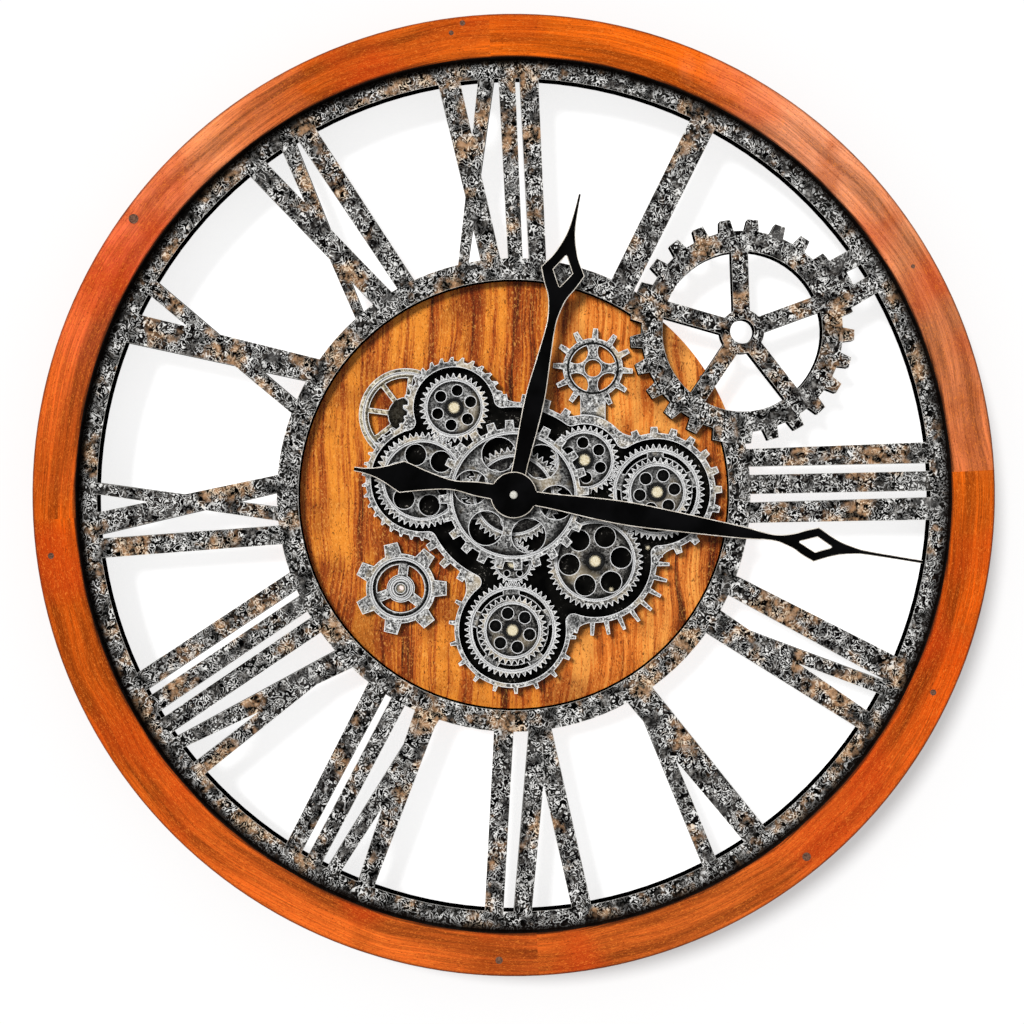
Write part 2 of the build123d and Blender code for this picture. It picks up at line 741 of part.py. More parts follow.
def corner_cog():
    """Seven-toothed cog on the boards below the left lobe."""
    centre = on_clock(corner_cog_distance, corner_cog_clock_angle)
    face = cog_outline(
        corner_cog_tooth_count, corner_cog_body_radius, corner_cog_tip_radius,
        corner_cog_tooth_base, corner_cog_tooth_tip, corner_cog_tooth_phase, centre)
    window = disc(corner_cog_window_outer, centre) - disc(corner_cog_window_inner, centre)
    spoke = Pos(corner_cog_window_outer, 0) * Rectangle(corner_cog_window_outer * 2, corner_cog_spoke_width)
    window = window - ring_of(spoke, centre, 0, 3, corner_cog_spoke_phase)
    top = tray_back + corner_cog_height
    cog = slab(face - window, tray_back, top)
    cog += rod(corner_cog_boss_radius, top, top + corner_cog_boss_height, centre)
    groove_outer = (corner_cog_body_radius + corner_cog_window_outer) / 2 + groove_width
    cog -= groove(groove_outer, centre, top, corner_cog_groove_width)
    hub_groove = (corner_cog_window_inner + corner_cog_boss_radius + groove_width) / 2
    cog -= groove(hub_groove, centre, top)
    cog -= slab(bezel_clearance_face(), tray_back, bezel_front + overrun)
    return cog - rod(corner_cog_hole_radius, tray_back, top + corner_cog_boss_height, centre)


def rivet():
    """Tubular rivet that holds the corner cog to the boards."""
    centre = on_clock(corner_cog_distance, corner_cog_clock_angle)
    tube = rod(corner_cog_hole_radius, disc_back, tray_back + corner_cog_height, centre)
    return tube - rod(corner_cog_hole_radius - rivet_wall, disc_back, tray_back + corner_cog_height, centre)


def groove(radius, centre, front, width=groove_width):
    """Shallow round groove cut in a front face."""
    ring = disc(radius, centre) - disc(radius - width, centre)
    return slab(ring, front - groove_depth, front)


def drilled_gear(wheel, hole_ring_share, hole_share, hole_phase, bore, groove_share):
    """Spur gear with six round holes, a groove inside its teeth and a bore for its pin."""
    tip = gear_tip(wheel.teeth)
    gear = slab(gear_outline(wheel), gear_back, gear_front)
    holes = ring_of(Circle(tip * hole_share), wheel.centre, tip * hole_ring_share, 6, hole_phase)
    gear -= [slab(hole, gear_back, gear_front) for hole in holes]
    gear -= groove(tip * groove_share, wheel.centre, gear_front)
    return gear - rod(bore, gear_back, gear_front, wheel.centre)


def slotted_gear(wheel, bore):
    """Spur gear with curved slots near its rim, under a stacked gear."""
    tip = gear_tip(wheel.teeth)
    gear = slab(gear_outline(wheel), gear_back, gear_front)
    slot_outer = tip * 0.83
    slot_inner = tip * 0.745
    slots = disc(slot_outer, wheel.centre) - disc(slot_inner, wheel.centre)
    bridge = Pos(slot_outer, 0) * Rectangle(slot_outer, tip * 0.34)
    slots = slots - ring_of(bridge, wheel.centre, 0, 5, 20.0)
    gear -= slab(slots, gear_back, gear_front)
    gear -= groove(tip * 0.885, wheel.centre, gear_front)
    return gear - rod(bore, gear_back, gear_front, wheel.centre)


def stacked_gear(wheel, hole_phase, bore):
    """Smaller gear fixed on the face of a large one."""
    small = Wheel(small_gear_teeth, wheel.centre, hole_phase)
    tip = gear_tip(small.teeth)
    gear = slab(gear_outline(small), gear_front, stack_front)
    holes = ring_of(Circle(tip * 0.17), wheel.centre, tip * 0.505, 6, hole_phase)
    gear -= [slab(hole, gear_front, stack_front) for hole in holes]
    gear -= groove(tip * 0.81, wheel.centre, stack_front)
    return gear - rod(bore, gear_front, stack_front, wheel.centre)


def centre_gear():
    """Hidden spur gear behind the cog wheel, with six round windows."""
    tip = gear_tip(centre_wheel.teeth)
    gear = slab(gear_outline(centre_wheel), gear_back, gear_front)
    windows = ring_of(Circle(tip * 0.17), (0, 0), tip * 0.54, 6, 20.0)
    gear -= [slab(w, gear_back, gear_front) for w in windows]
    gear -= groove(tip * 0.83, (0, 0), gear_front)
    return gear - rod(centre_boss_radius + bearing_clearance, gear_back, gear_front)


def centre_cog_wheel():
    """Cog wheel before the centre gear, with six round windows and a hub that seats on the gear."""
    face = cog_outline(
        cog_count, cog_root_radius, cog_tip_radius, cog_base_width, cog_tip_width, cog_phase)
    windows = ring_of(Circle(cog_root_radius * 0.255), (0, 0), cog_root_radius * 0.645, 6, 50.0)
    wheel = slab(face - windows, cog_back, cog_front)
    wheel += rod(cog_hub_radius, gear_front, cog_back)
    wheel -= groove(cog_root_radius * 0.94, (0, 0), cog_front)
    return wheel - rod(centre_boss_radius + bearing_clearance, gear_front, cog_front)


def wheel_pin(centre, face):
    """Brass pin seated in its post, with a washer and a domed head over the wheel."""
    pin = rod(pin_radius, pin_foot, face + gear_end_play + pin_washer_thickness, centre)
    head_back = face + gear_end_play + pin_washer_thickness
    head = rod(pin_head_radius, head_back, head_back + pin_head_height, centre)
    head = chamfer(head.edges().group_by(Axis.Z)[-1], pin_head_height / 2)
    return pin + head


def pin_face(wheel):
    """Depth of the front face that a wheel's pin holds."""
    return stack_front if wheel in stacked_wheels else gear_front


def wheel_pins():
    """The six fixed pins."""
    return Compound(children=[wheel_pin(w.centre, pin_face(w)) for w in pinned_wheels])


def pin_washers():
    """Dark washers under the six pin heads."""
    pieces = []
    for wheel in pinned_wheels:
        back = pin_face(wheel) + gear_end_play
        washer = rod(pin_washer_radius, back, back + pin_washer_thickness, wheel.centre)
        pieces.append(washer - rod(pin_radius, back, back + pin_washer_thickness, wheel.centre))
    return Compound(children=pieces)


def bottom_arbor():
    """Driven arbor of the bottom gears, with its own head, down to the drive wheel."""
    head_back = stack_front + pin_washer_thickness
    arbor = rod(pin_radius, drive_floor + drive_wheel_back - motion_end_play * 2, head_back, bottom_centre)
    head = rod(pin_head_radius, head_back, head_back + pin_head_height, bottom_centre)
    return arbor + chamfer(head.edges().group_by(Axis.Z)[-1], pin_head_height / 2)


def bottom_washer():
    """Dark washer under the arbor's head."""
    back = stack_front
    washer = rod(pin_washer_radius, back, back + pin_washer_thickness, bottom_centre)
    return washer - rod(pin_radius, back, back + pin_washer_thickness, bottom_centre)


def blade(runs, length, width):
    """Face of a blade along +X, the same on both sides of its middle line."""
    half_width = width / 2
    edges = [Spline(*[(x * length, y * half_width) for x, y in run]) for run in runs]
    first = (0, runs[0][0][1] * half_width)
    last = (length, runs[-1][-1][1] * half_width)
    edges.append(Line((0, 0), first))
    edges.append(Polyline(last, (length, 0), (0, 0)))
    half = make_face(edges)
    return half + mirror(half, about=Plane.XZ)


def diamond(shares, length, width):
    """Diamond window in a blade."""
    near, side, far = [(x * length, y * width / 2) for x, y in shares]
    return outline([near, side, far, (side[0], -side[1])])


def hour_hand():
    """Hour hand: a spade blade with a diamond window and a round eye."""
    face = blade((hour_blade_shares, hour_point_shares), hour_length, hour_spade_width)
    face = face + disc(hour_hub_radius)
    face = face - diamond(hour_window_shares, hour_length, hour_spade_width)
    hand = Rot(0, 0, 90.0 - hour_clock_angle) * slab(face, hour_hand_back, hour_hand_front)
    return hand - rod(hour_tube_radius, hour_hand_back, hour_hand_front)


def minute_hand():
    """Minute hand with a long spade blade and a pointed counterweight tail."""
    face = blade((minute_blade_shares, minute_point_shares), minute_length, minute_spade_width)
    tail = blade((minute_neck_shares, minute_tail_shares), minute_tail, minute_tail_width)
    face = face + [Rot(0, 0, 180.0) * tail, disc(minute_hub_radius)]
    face = face - diamond(minute_window_shares, minute_length, minute_spade_width)
    hand = Rot(0, 0, 90.0 - minute_clock_angle) * slab(face, minute_hand_back, minute_hand_front)
    return hand - rod(minute_shaft_radius, minute_hand_back, minute_hand_front)


def shaft_layers():
    """Depths of the two layers of the motion works: cannon layer, then hour-wheel layer."""
    hour_layer_front = movement_front - movement_wall - bush_flange_thickness - motion_end_play
    hour_layer_back = hour_layer_front - motion_wheel_thickness
    cannon_front = hour_layer_back - motion_end_play
    return cannon_front - motion_wheel_thickness, cannon_front, hour_layer_back, hour_layer_front


def motion_wheels():
    """Places of the motion works: cannon pinion, minute wheel with its pinion, hour wheel, knob pinion."""
    cannon = Wheel(cannon_teeth, (0, 0), 0.0)
    minute = meshed(cannon, minute_wheel_teeth, motion_wheel_angle, motion_module)
    knob = meshed(minute, cannon_teeth, motion_wheel_angle - 180.0 + 120.0, motion_module)
    fine_module = motion_module * (cannon_teeth + minute_wheel_teeth) / (minute_pinion_teeth + hour_wheel_teeth)
    pinion = Wheel(minute_pinion_teeth, minute.centre, 0.0)
    hour = meshed(pinion, hour_wheel_teeth, motion_wheel_angle + 180.0, fine_module)
    return cannon, minute, knob, pinion, hour, fine_module


def hour_tube():
    """Hour tube with the hour wheel on its foot."""
    cannon, minute, knob, pinion, hour, fine_module = motion_wheels()
    back, cannon_front, hour_back, hour_front = shaft_layers()
    tube = rod(hour_tube_radius, hour_back, hour_hand_front)
    tube += slab(gear_outline(hour, fine_module, motion_backlash), hour_back, hour_front)
    return tube - rod(hour_tube_bore, hour_back, hour_hand_front)


def minute_shaft():
    """Minute shaft with the cannon pinion, its end turned down in the cover."""
    cannon = motion_wheels()[0]
    back, cannon_front, hour_back, hour_front = shaft_layers()
    cover_front = movement_back + cover_inset + cover_thickness
    shaft = rod(minute_shaft_radius, cover_front + motion_end_play, minute_hand_front)
    return shaft + slab(gear_outline(cannon, motion_module, motion_backlash), back, cannon_front)


def hand_cap():
    """Domed brass cap nut on the minute shaft."""
    dome = rod(cap_radius, minute_hand_front, minute_hand_front + cap_height)
    return fillet(dome.edges().group_by(Axis.Z)[-1], cap_radius * 0.6)


def minute_wheel():
    """Minute wheel and its pinion on a steel pin."""
    cannon, minute, knob, pinion, hour, fine_module = motion_wheels()
    back, cannon_front, hour_back, hour_front = shaft_layers()
    wheel = slab(gear_outline(minute, motion_module, motion_backlash), back, cannon_front)
    wheel += slab(gear_outline(pinion, fine_module, motion_backlash), cannon_front, hour_front)
    return wheel - rod(motion_pin_radius + bearing_clearance, back, hour_front, minute.centre)


def motion_pin():
    """Steel pin of the minute wheel, held in the case and the cover."""
    minute = motion_wheels()[1]
    cover_front = movement_back + cover_inset + cover_thickness
    return rod(motion_pin_radius, cover_front, movement_front - movement_wall, minute.centre)


def set_knob():
    """Ribbed setting knob, its shaft and its pinion."""
    knob = motion_wheels()[2]
    back, cannon_front, hour_back, hour_front = shaft_layers()
    knob_back = movement_back + (cover_inset - knob_thickness) / 2
    shaft = rod(knob_shaft_radius, knob_back, cannon_front, knob.centre)
    shaft += slab(gear_outline(knob, motion_module, motion_backlash), back, cannon_front)
    rib_width = pi * knob_radius / knob_rib_count
    grip = cog_outline(
        knob_rib_count, knob_radius - knob_rib_height, knob_radius, rib_width, rib_width / 2, 0.0, knob.centre)
    return shaft + slab(grip, knob_back, knob_back + knob_thickness)


def movement_case():
    """Moulded case of the movement, open behind over the works and the battery."""
    half = movement_width / 2
    middle = (movement_above - movement_below) / 2
    face = Pos(0, middle) * RectangleRounded(movement_width, movement_above + movement_below, movement_corner_round)
    case = slab(face, movement_back, movement_front)
    floor = movement_front - movement_wall
    inner = half - movement_wall
    bay_top = battery_bay_top()
    works_high = (inner, movement_above - movement_wall)
    bay_low = (-inner, movement_wall - movement_below)
    case -= box_between((-inner, bay_top + movement_wall), works_high, movement_back, floor)
    case -= box_between(bay_low, (inner, bay_top), movement_back, floor)
    case -= rod(bush_radius, floor, movement_front)
    return case


def battery_bay_top():
    """Height of the wall between the battery and the works."""
    return movement_wall - movement_below + 2 * (battery_radius + battery_play)


def movement_cover():
    """Back cover over the works, let into the case, bored for the setting knob's shaft."""
    inner = movement_width / 2 - movement_wall - cover_play
    back = movement_back + cover_inset
    low = (-inner, battery_bay_top() + movement_wall + cover_play)
    cover = box_between(low, (inner, movement_above - movement_wall - cover_play), back, back + cover_thickness)
    knob = motion_wheels()[2]
    return cover - rod(knob_shaft_radius + bearing_clearance, back, back + cover_thickness, knob.centre)


def movement_bush():
    """Threaded brass bush with a flange inside the case."""
    floor = movement_front - movement_wall
    bush = rod(bush_radius, floor, nut_front) + rod(bush_flange_radius, floor - bush_flange_thickness, floor)
    return bush - rod(bush_bore_radius, floor - bush_flange_thickness, nut_front)


def bush_gasket():
    """Rubber washer between the case and the boards."""
    return rod(gasket_radius, movement_front, disc_back) - rod(bush_radius, movement_front, disc_back)


def bush_nut():
    """Hexagon nut on the bush, against the tray's boss."""
    nut = slab(RegularPolygon(bush_nut_flats / 2, 6, major_radius=False), nut_back, nut_front)
    return nut - rod(bush_radius, nut_back, nut_front)


def movement_coil():
    """Coil of the stepping motor on its iron core, against the circuit board."""
    floor = movement_front - movement_wall
    depth = floor - board_thickness - coil_radius
    height = movement_above - movement_wall - coil_radius - cover_play
    coil = Cylinder(coil_radius, coil_length) + Cylinder(coil_core_radius, coil_length + 2 * coil_core_overhang)
    return Pos(movement_width / 8, height, depth) * Rot(0, 90, 0) * coil


def circuit_board():
    """Circuit board against the front wall of the case."""
    floor = movement_front - movement_wall
    top = movement_above - movement_wall
    low = (movement_width / 8 - board_length / 2, top - board_width)
    return box_between(low, (low[0] + board_length, top), floor - board_thickness, floor)


def battery(centre_x, centre_y, centre_z):
    """Round cell lying along X, its nub to the right."""
    cell = Cylinder(battery_radius, battery_length - battery_nub_length)
    nub = Pos(0, 0, battery_length / 2) * Cylinder(battery_nub_radius, battery_nub_length)
    body = cell + nub
    return Pos(centre_x - battery_nub_length / 2, centre_y, centre_z) * Rot(0, 90, 0) * body


def movement_battery_centre():
    """Axis of the movement's cell."""
    depth = movement_front - movement_wall - battery_radius - battery_play / 2
    return (0, movement_wall - movement_below + battery_radius + battery_play, depth)


def drive_battery_centre():
    """Axis of the drive's cell."""
    inner_right = bottom_centre[0] + drive_right - drive_wall
    inner_left = bottom_centre[0] + drive_partition + drive_wall
    depth = disc_back - drive_wall - battery_radius - battery_play / 2
    return ((inner_left + inner_right) / 2, bottom_centre[1], depth)


def contact_pair(centre, half_gap):
    """Two sprung contact blades, one against each end wall of a battery bay."""
    pieces = []
    for side in (-1, 1):
        plate = Pos(centre[0] + side * (half_gap - contact_thickness / 2), centre[1], centre[2]) * Box(
            contact_thickness, contact_width, contact_width)
        reach = half_gap - contact_thickness - battery_length / 2
        tip_x = centre[0] + side * (half_gap - contact_thickness - reach / 2)
        pip = Pos(tip_x, centre[1], centre[2]) * Rot(0, 90, 0) * Cylinder(battery_nub_radius, reach)
        pieces.append(plate + pip)
    return pieces


def battery_contacts():
    """Contacts of both battery bays."""
    movement_half = movement_width / 2 - movement_wall
    drive_half = (drive_right - drive_partition) / 2 - drive_wall
    return Compound(children=contact_pair(movement_battery_centre(), movement_half)
                    + contact_pair(drive_battery_centre(), drive_half))


def drive_wheel_places():
    """Drive wheel on the arbor and the motor's pinion in mesh with it."""
    wheel = Wheel(drive_wheel_teeth, bottom_centre, 0.0)
    return wheel, meshed(wheel, drive_pinion_teeth, motor_direction, drive_module)


def drive_case():
    """Moulded box of the geared motor, open behind, with two screw ears."""
    x, y = bottom_centre
    low = (x - drive_left, y - drive_half_height)
    high = (x + drive_right, y + drive_half_height)
    case = box_between(low, high, drive_floor, disc_back)
    floor = disc_back - drive_wall
    wall_x = x + drive_partition
    motor_low = (low[0] + drive_wall, low[1] + drive_wall)
    case -= box_between(motor_low, (wall_x, high[1] - drive_wall), drive_floor, floor)
    half_bay = battery_radius + battery_play
    bay_low = (wall_x + drive_wall, y - half_bay)
    case -= box_between(bay_low, (high[0] - drive_wall, y + half_bay), drive_floor, floor)
    case += [slab(Pos(*p) * Rectangle(ear_length, ear_width), disc_back - ear_thickness, disc_back)
             for p in drive_ear_centres()]
    case -= rod(pin_radius + bearing_clearance, floor, disc_back, bottom_centre)
    return case - drive_screws().solids()


def drive_ear_centres():
    """Middle of each screw ear of the drive."""
    x, y = bottom_centre
    return [(x - drive_left - ear_length / 2, y), (x + drive_right + ear_length / 2, y)]


def drive_screws():
    """Screws through the drive's ears into the boards."""
    back = disc_back - ear_thickness - screw_head_height
    return Compound(children=[screw(p, back, disc_back + screw_bite) for p in drive_ear_centres()])


def wood_screws():
    """All wood screws of the plate, the boards and the drive."""
    groups = (plate_screws(), disc_screws(), drive_screws())
    return Compound(children=[piece for group in groups for piece in group.solids()])


def drive_cover():
    """Back cover of the motor bay, with the switch's slot."""
    x, y = bottom_centre
    low = (x - drive_left + drive_wall + cover_play, y - drive_half_height + drive_wall + cover_play)
    high = (x + drive_partition - cover_play, y + drive_half_height - drive_wall - cover_play)
    cover = box_between(low, high, drive_floor, drive_floor + cover_thickness)
    sx, sy = switch_centre()
    half_run = (switch_nub_length / 2 + switch_slot_clearance, switch_nub_width / 2 + switch_slot_clearance)
    cover -= box_between(
        (sx - half_run[0], sy - half_run[1]), (sx + half_run[0] + switch_travel, sy + half_run[1]),
        drive_floor, drive_floor + cover_thickness)
    return cover


def switch_centre():
    """Middle of the switch's nub in its off place."""
    x, y = bottom_centre
    return (x + switch_right_share * drive_left, y - switch_down_share * drive_half_height)


def drive_switch():
    """Slider of the on-off switch, its nub in the cover's slot."""
    x, y = switch_centre()
    cover_front = drive_floor + cover_thickness
    slider_back = cover_front + gear_end_play
    nub = Pos(x, y) * Rectangle(switch_nub_length, switch_nub_width)
    base = Pos(x, y) * Rectangle(switch_slider_length, switch_slider_width)
    slider_front = slider_back + switch_slider_thickness
    return slab(nub, drive_floor - switch_nub_height, slider_back) + slab(base, slider_back, slider_front)


def switch_body():
    """Body of the switch: a tray round the slider, fixed to the cover."""
    x, y = switch_centre()
    cover_front = drive_floor + cover_thickness
    middle = x + switch_travel / 2
    low = (middle - switch_body_length / 2, y - switch_body_width / 2)
    high = (middle + switch_body_length / 2, y + switch_body_width / 2)
    body = box_between(low, high, cover_front, cover_front + switch_body_height)
    half_run = (switch_slider_length / 2 + switch_slot_clearance, switch_slider_width / 2 + switch_slot_clearance)
    body -= box_between(
        (x - half_run[0], y - half_run[1]), (x + half_run[0] + switch_travel, y + half_run[1]),
        cover_front, cover_front + switch_slider_thickness + gear_end_play * 2)
    return body


def drive_wheel():
    """Drive wheel pressed on the arbor inside the case."""
    wheel = drive_wheel_places()[0]
    back = drive_floor + drive_wheel_back
    gear = slab(gear_outline(wheel, drive_module, drive_backlash), back, back + drive_wheel_thickness)
    return gear - rod(pin_radius, back, back + drive_wheel_thickness, wheel.centre)


def drive_motor():
    """Flat can motor against the front wall of the drive's case."""
    pinion = drive_wheel_places()[1]
    front = disc_back - drive_wall
    can = rod(motor_radius, front - motor_height, front, pinion.centre)
    bore = motor_shaft_radius + bearing_clearance
    return can - rod(bore, front - motor_height, front - motor_height / 2, pinion.centre)


def motor_pinion():
    """Motor shaft with its pinion."""
    pinion = drive_wheel_places()[1]
    back = drive_floor + drive_wheel_back
    shaft_front = disc_back - drive_wall - motor_height / 2 - motion_end_play
    shaft = rod(motor_shaft_radius, back, shaft_front, pinion.centre)
    return shaft + slab(gear_outline(pinion, drive_module, drive_backlash), back, back + drive_wheel_thickness)


def hanger_centre():
    """Middle of the hanging plate, on the rim above twelve."""
    return (0, (rim_outer_radius + rim_rebate_radius) / 2)


def keyhole_centre():
    """Middle of the round entry hole, which leaves as much plate below it as above its slot."""
    x, y = hanger_centre()
    return (x, y + (hanger_hole_radius - hanger_slot_radius - hanger_slot_rise) / 2)


def keyhole():
    """Round entry hole with a slot that runs up from it."""
    x, y = keyhole_centre()
    slot = Rot(0, 0, 90) * SlotCenterToCenter(hanger_slot_rise, hanger_slot_radius * 2)
    return disc(hanger_hole_radius, (x, y)) + Pos(x, y + hanger_slot_rise / 2) * slot


def hanger_plate():
    """Steel keyhole plate let in flush with the back of the rim."""
    plate = slab(Pos(*hanger_centre()) * Rectangle(hanger_length, hanger_height), 0, hanger_thickness)
    return plate - slab(keyhole(), 0, hanger_thickness) - hanger_screws().solids()


def hanger_pocket():
    """Space in the rim for the plate and the head of the wall screw."""
    x, y = hanger_centre()
    seat = Pos(x, y) * Rectangle(hanger_length + 2 * hanger_clearance, hanger_height + 2 * hanger_clearance)
    hollow = Pos(x, y) * Rot(0, 0, 90) * SlotCenterToCenter(hanger_hollow_rise, hanger_hollow_radius * 2)
    return slab(seat, -overrun, hanger_thickness) + slab(hollow, 0, hanger_hollow_depth)


def hanger_screws():
    """Two flat-headed screws, sunk flush in the hanging plate."""
    x, y = hanger_centre()
    pieces = []
    for side in (-1, 1):
        centre = (x + side * (hanger_length / 2 - hanger_screw_inset), y)
        head = rod(screw_head_radius, 0, hanger_screw_head, centre)
        pieces.append(head + rod(screw_radius, hanger_screw_head, hanger_screw_length, centre))
    return Compound(children=pieces)


def build_nodes():
    """All sub-parts by name."""
    nodes = {}
    for name, piece in zip(("upper_right", "upper_left", "lower_left", "lower_right"), rim_segments()):
        nodes["rim_segment_" + name] = piece
    nodes["rim_nails"] = rim_nails()
    nodes["dial_plate"] = dial_plate()
    nodes["wood_screws"] = wood_screws()
    for name, piece in zip(("left", "middle_left", "middle_right", "right"), centre_boards()):
        nodes["centre_board_" + name] = piece
    nodes["gear_tray"] = gear_tray()
    nodes["gear_tray_screws"] = tray_screws()
    nodes["cog_bezel"] = cog_bezel()
    nodes["flywheel"] = flywheel()
    nodes["corner_cog"] = corner_cog()
    nodes["corner_cog_rivet"] = rivet()
    running_bore = pin_radius + bearing_clearance
    nodes["upper_left_gear"] = drilled_gear(upper_left_wheel, 0.505, 0.162, 20.0, running_bore, 0.83)
    nodes["left_gear"] = drilled_gear(left_wheel, 0.543, 0.218, 45.0, running_bore, 0.83)
    nodes["upper_right_gear"] = drilled_gear(upper_right_wheel, 0.505, 0.162, 35.0, running_bore, 0.83)
    nodes["lower_right_gear"] = drilled_gear(lower_right_wheel, 0.543, 0.218, 7.6, running_bore, 0.83)
    nodes["idler_gear"] = drilled_gear(idler_wheel, 0.55, 0.13, 60.0, running_bore, 0.8)
    nodes["right_gear"] = slotted_gear(right_wheel, running_bore)
    nodes["right_top_gear"] = stacked_gear(right_wheel, 10.0, running_bore)
    nodes["bottom_gear"] = slotted_gear(bottom_wheel, pin_radius)
    nodes["bottom_top_gear"] = stacked_gear(bottom_wheel, 46.0, pin_radius)
    nodes["bottom_gear_arbor"] = bottom_arbor()
    nodes["bottom_gear_washer"] = bottom_washer()
    nodes["centre_gear"] = centre_gear()
    nodes["centre_cog_wheel"] = centre_cog_wheel()
    nodes["gear_pins"] = wheel_pins()
    nodes["gear_pin_washers"] = pin_washers()
    nodes["hour_hand"] = hour_hand()
    nodes["hour_tube"] = hour_tube()
    nodes["minute_hand"] = minute_hand()
    nodes["minute_shaft"] = minute_shaft()
    nodes["hand_cap_nut"] = hand_cap()
    nodes["movement_case"] = movement_case()
    nodes["movement_cover"] = movement_cover()
    nodes["movement_bush"] = movement_bush()
    nodes["movement_gasket"] = bush_gasket()
    nodes["bush_nut"] = bush_nut()
    nodes["minute_wheel"] = minute_wheel()
    nodes["minute_wheel_pin"] = motion_pin()
    nodes["set_knob"] = set_knob()
    nodes["movement_coil"] = movement_coil()
    nodes["circuit_board"] = circuit_board()
    nodes["movement_battery"] = battery(*movement_battery_centre())
    nodes["drive_battery"] = battery(*drive_battery_centre())
    nodes["battery_contacts"] = battery_contacts()
    nodes["drive_case"] = drive_case()
    nodes["drive_cover"] = drive_cover()
    nodes["drive_switch_slider"] = drive_switch()
    nodes["drive_switch_body"] = switch_body()
    nodes["drive_wheel"] = drive_wheel()
    nodes["drive_motor"] = drive_motor()
    nodes["motor_pinion"] = motor_pinion()
    nodes["hanger_plate"] = hanger_plate()
    nodes["hanger_screws"] = hanger_screws()
    return nodes


def export_nodes(nodes):
    """Stand the clock up, with the origin half-way through its depth, and write one file for each sub-part."""
    os.makedirs("parts", exist_ok=True)
    stand = Pos(0, clock_front / 2, 0) * Rot(90, 0, 0)
    for name, piece in nodes.items():
        export_step(stand * piece, "parts/" + name + ".step")


export_nodes(build_nodes())
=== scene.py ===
"""Dress of the wooden gear clock: finishes, ridged hands, wall, light and camera.

Lengths are in millimetres unless a name says metres. +X is the viewer's right, +Z is up and -Y faces
the viewer. The hands' axis runs through the origin, and depths are counted forward from the wall.
"""
import logging
import math
from dataclasses import dataclass, field
from enum import Enum
from typing import Any

import bmesh
import bpy
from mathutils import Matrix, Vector


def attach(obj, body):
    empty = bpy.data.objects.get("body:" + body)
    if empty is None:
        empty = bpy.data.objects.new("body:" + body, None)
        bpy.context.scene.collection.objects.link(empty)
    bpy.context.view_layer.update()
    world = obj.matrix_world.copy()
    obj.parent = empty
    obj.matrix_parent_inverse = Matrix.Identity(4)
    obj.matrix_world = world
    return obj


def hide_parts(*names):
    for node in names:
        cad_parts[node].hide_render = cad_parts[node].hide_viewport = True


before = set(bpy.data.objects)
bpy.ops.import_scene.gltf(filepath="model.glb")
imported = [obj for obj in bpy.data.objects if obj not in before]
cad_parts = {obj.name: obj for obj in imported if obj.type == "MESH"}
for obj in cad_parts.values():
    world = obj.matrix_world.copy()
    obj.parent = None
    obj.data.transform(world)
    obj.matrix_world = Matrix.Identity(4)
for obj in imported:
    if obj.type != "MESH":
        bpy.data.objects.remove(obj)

MM = 0.001
WALL_Y = 22.5
# Cosines between a face and its rounded edge, where the edge band starts and where it is complete
EDGE_BAND_STARTS, EDGE_BAND_FULL = 0.997, 0.976
# Depth shares of a face's normal, up to which it is a cut side and from which it is a front
SIDE_LEAN, FRONT_LEAN = 0.5, 0.8
EDGE_SAMPLES = 6
# Points of a hand that are closer than this, in metres, are one point
WELD = 1e-7
LOG = logging.getLogger("gear_clock")

Material = bpy.types.Material
Node = bpy.types.Node
Socket = bpy.types.NodeSocket
Tree = bpy.types.NodeTree
Stops = tuple[tuple[float, str], ...]
Points = tuple[tuple[float, float], ...]
Size = tuple[float, float, float]


def linear(code: str) -> tuple[float, float, float, float]:
    """Turns an sRGB hex colour to the linear values that shaders take.

    Args:
        code: colour such as "#D9690F".
    Returns:
        Linear red, green, blue and an alpha of 1.
    """
    parts = [int(code[i:i + 2], 16) / 255 for i in (1, 3, 5)]
    red, green, blue = [p / 12.92 if p <= 0.04045 else ((p + 0.055) / 1.055) ** 2.4 for p in parts]
    return (red, green, blue, 1.0)


def feed(tree: Tree, node: Node, inputs: dict[Any, Any]) -> None:
    """Gives a node's inputs their values or links.

    Args:
        tree: the node tree.
        node: the node.
        inputs: values or output sockets, by input name or index.
    """
    for key, value in inputs.items():
        if isinstance(value, Socket):
            tree.links.new(value, node.inputs[key])
        else:
            node.inputs[key].default_value = value


def add(tree: Tree, kind: str, inputs: dict[Any, Any] | None = None, **settings: Any) -> Node:
    """Adds one node with its settings and links.

    Args:
        tree: the node tree.
        kind: the node's type name without "ShaderNode".
        inputs: values or output sockets, by input name or index.
        settings: attributes of the node, such as operation.
    Returns:
        The new node.
    """
    node = tree.nodes.new("ShaderNode" + kind)
    for name, value in settings.items():
        setattr(node, name, value)
    feed(tree, node, inputs or {})
    return node


def set_stops(ramp: Node, stops: Stops) -> Socket:
    """Gives a colour ramp its stops.

    Args:
        ramp: the colour ramp node.
        stops: pairs of position and hex colour, from low to high.
    Returns:
        The ramp's colour output.
    """
    elements = ramp.color_ramp.elements
    while len(elements) < len(stops):
        elements.new(0.5)
    for element, (position, code) in zip(elements, stops):
        element.position = position
        element.color = linear(code)
    return ramp.outputs["Color"]


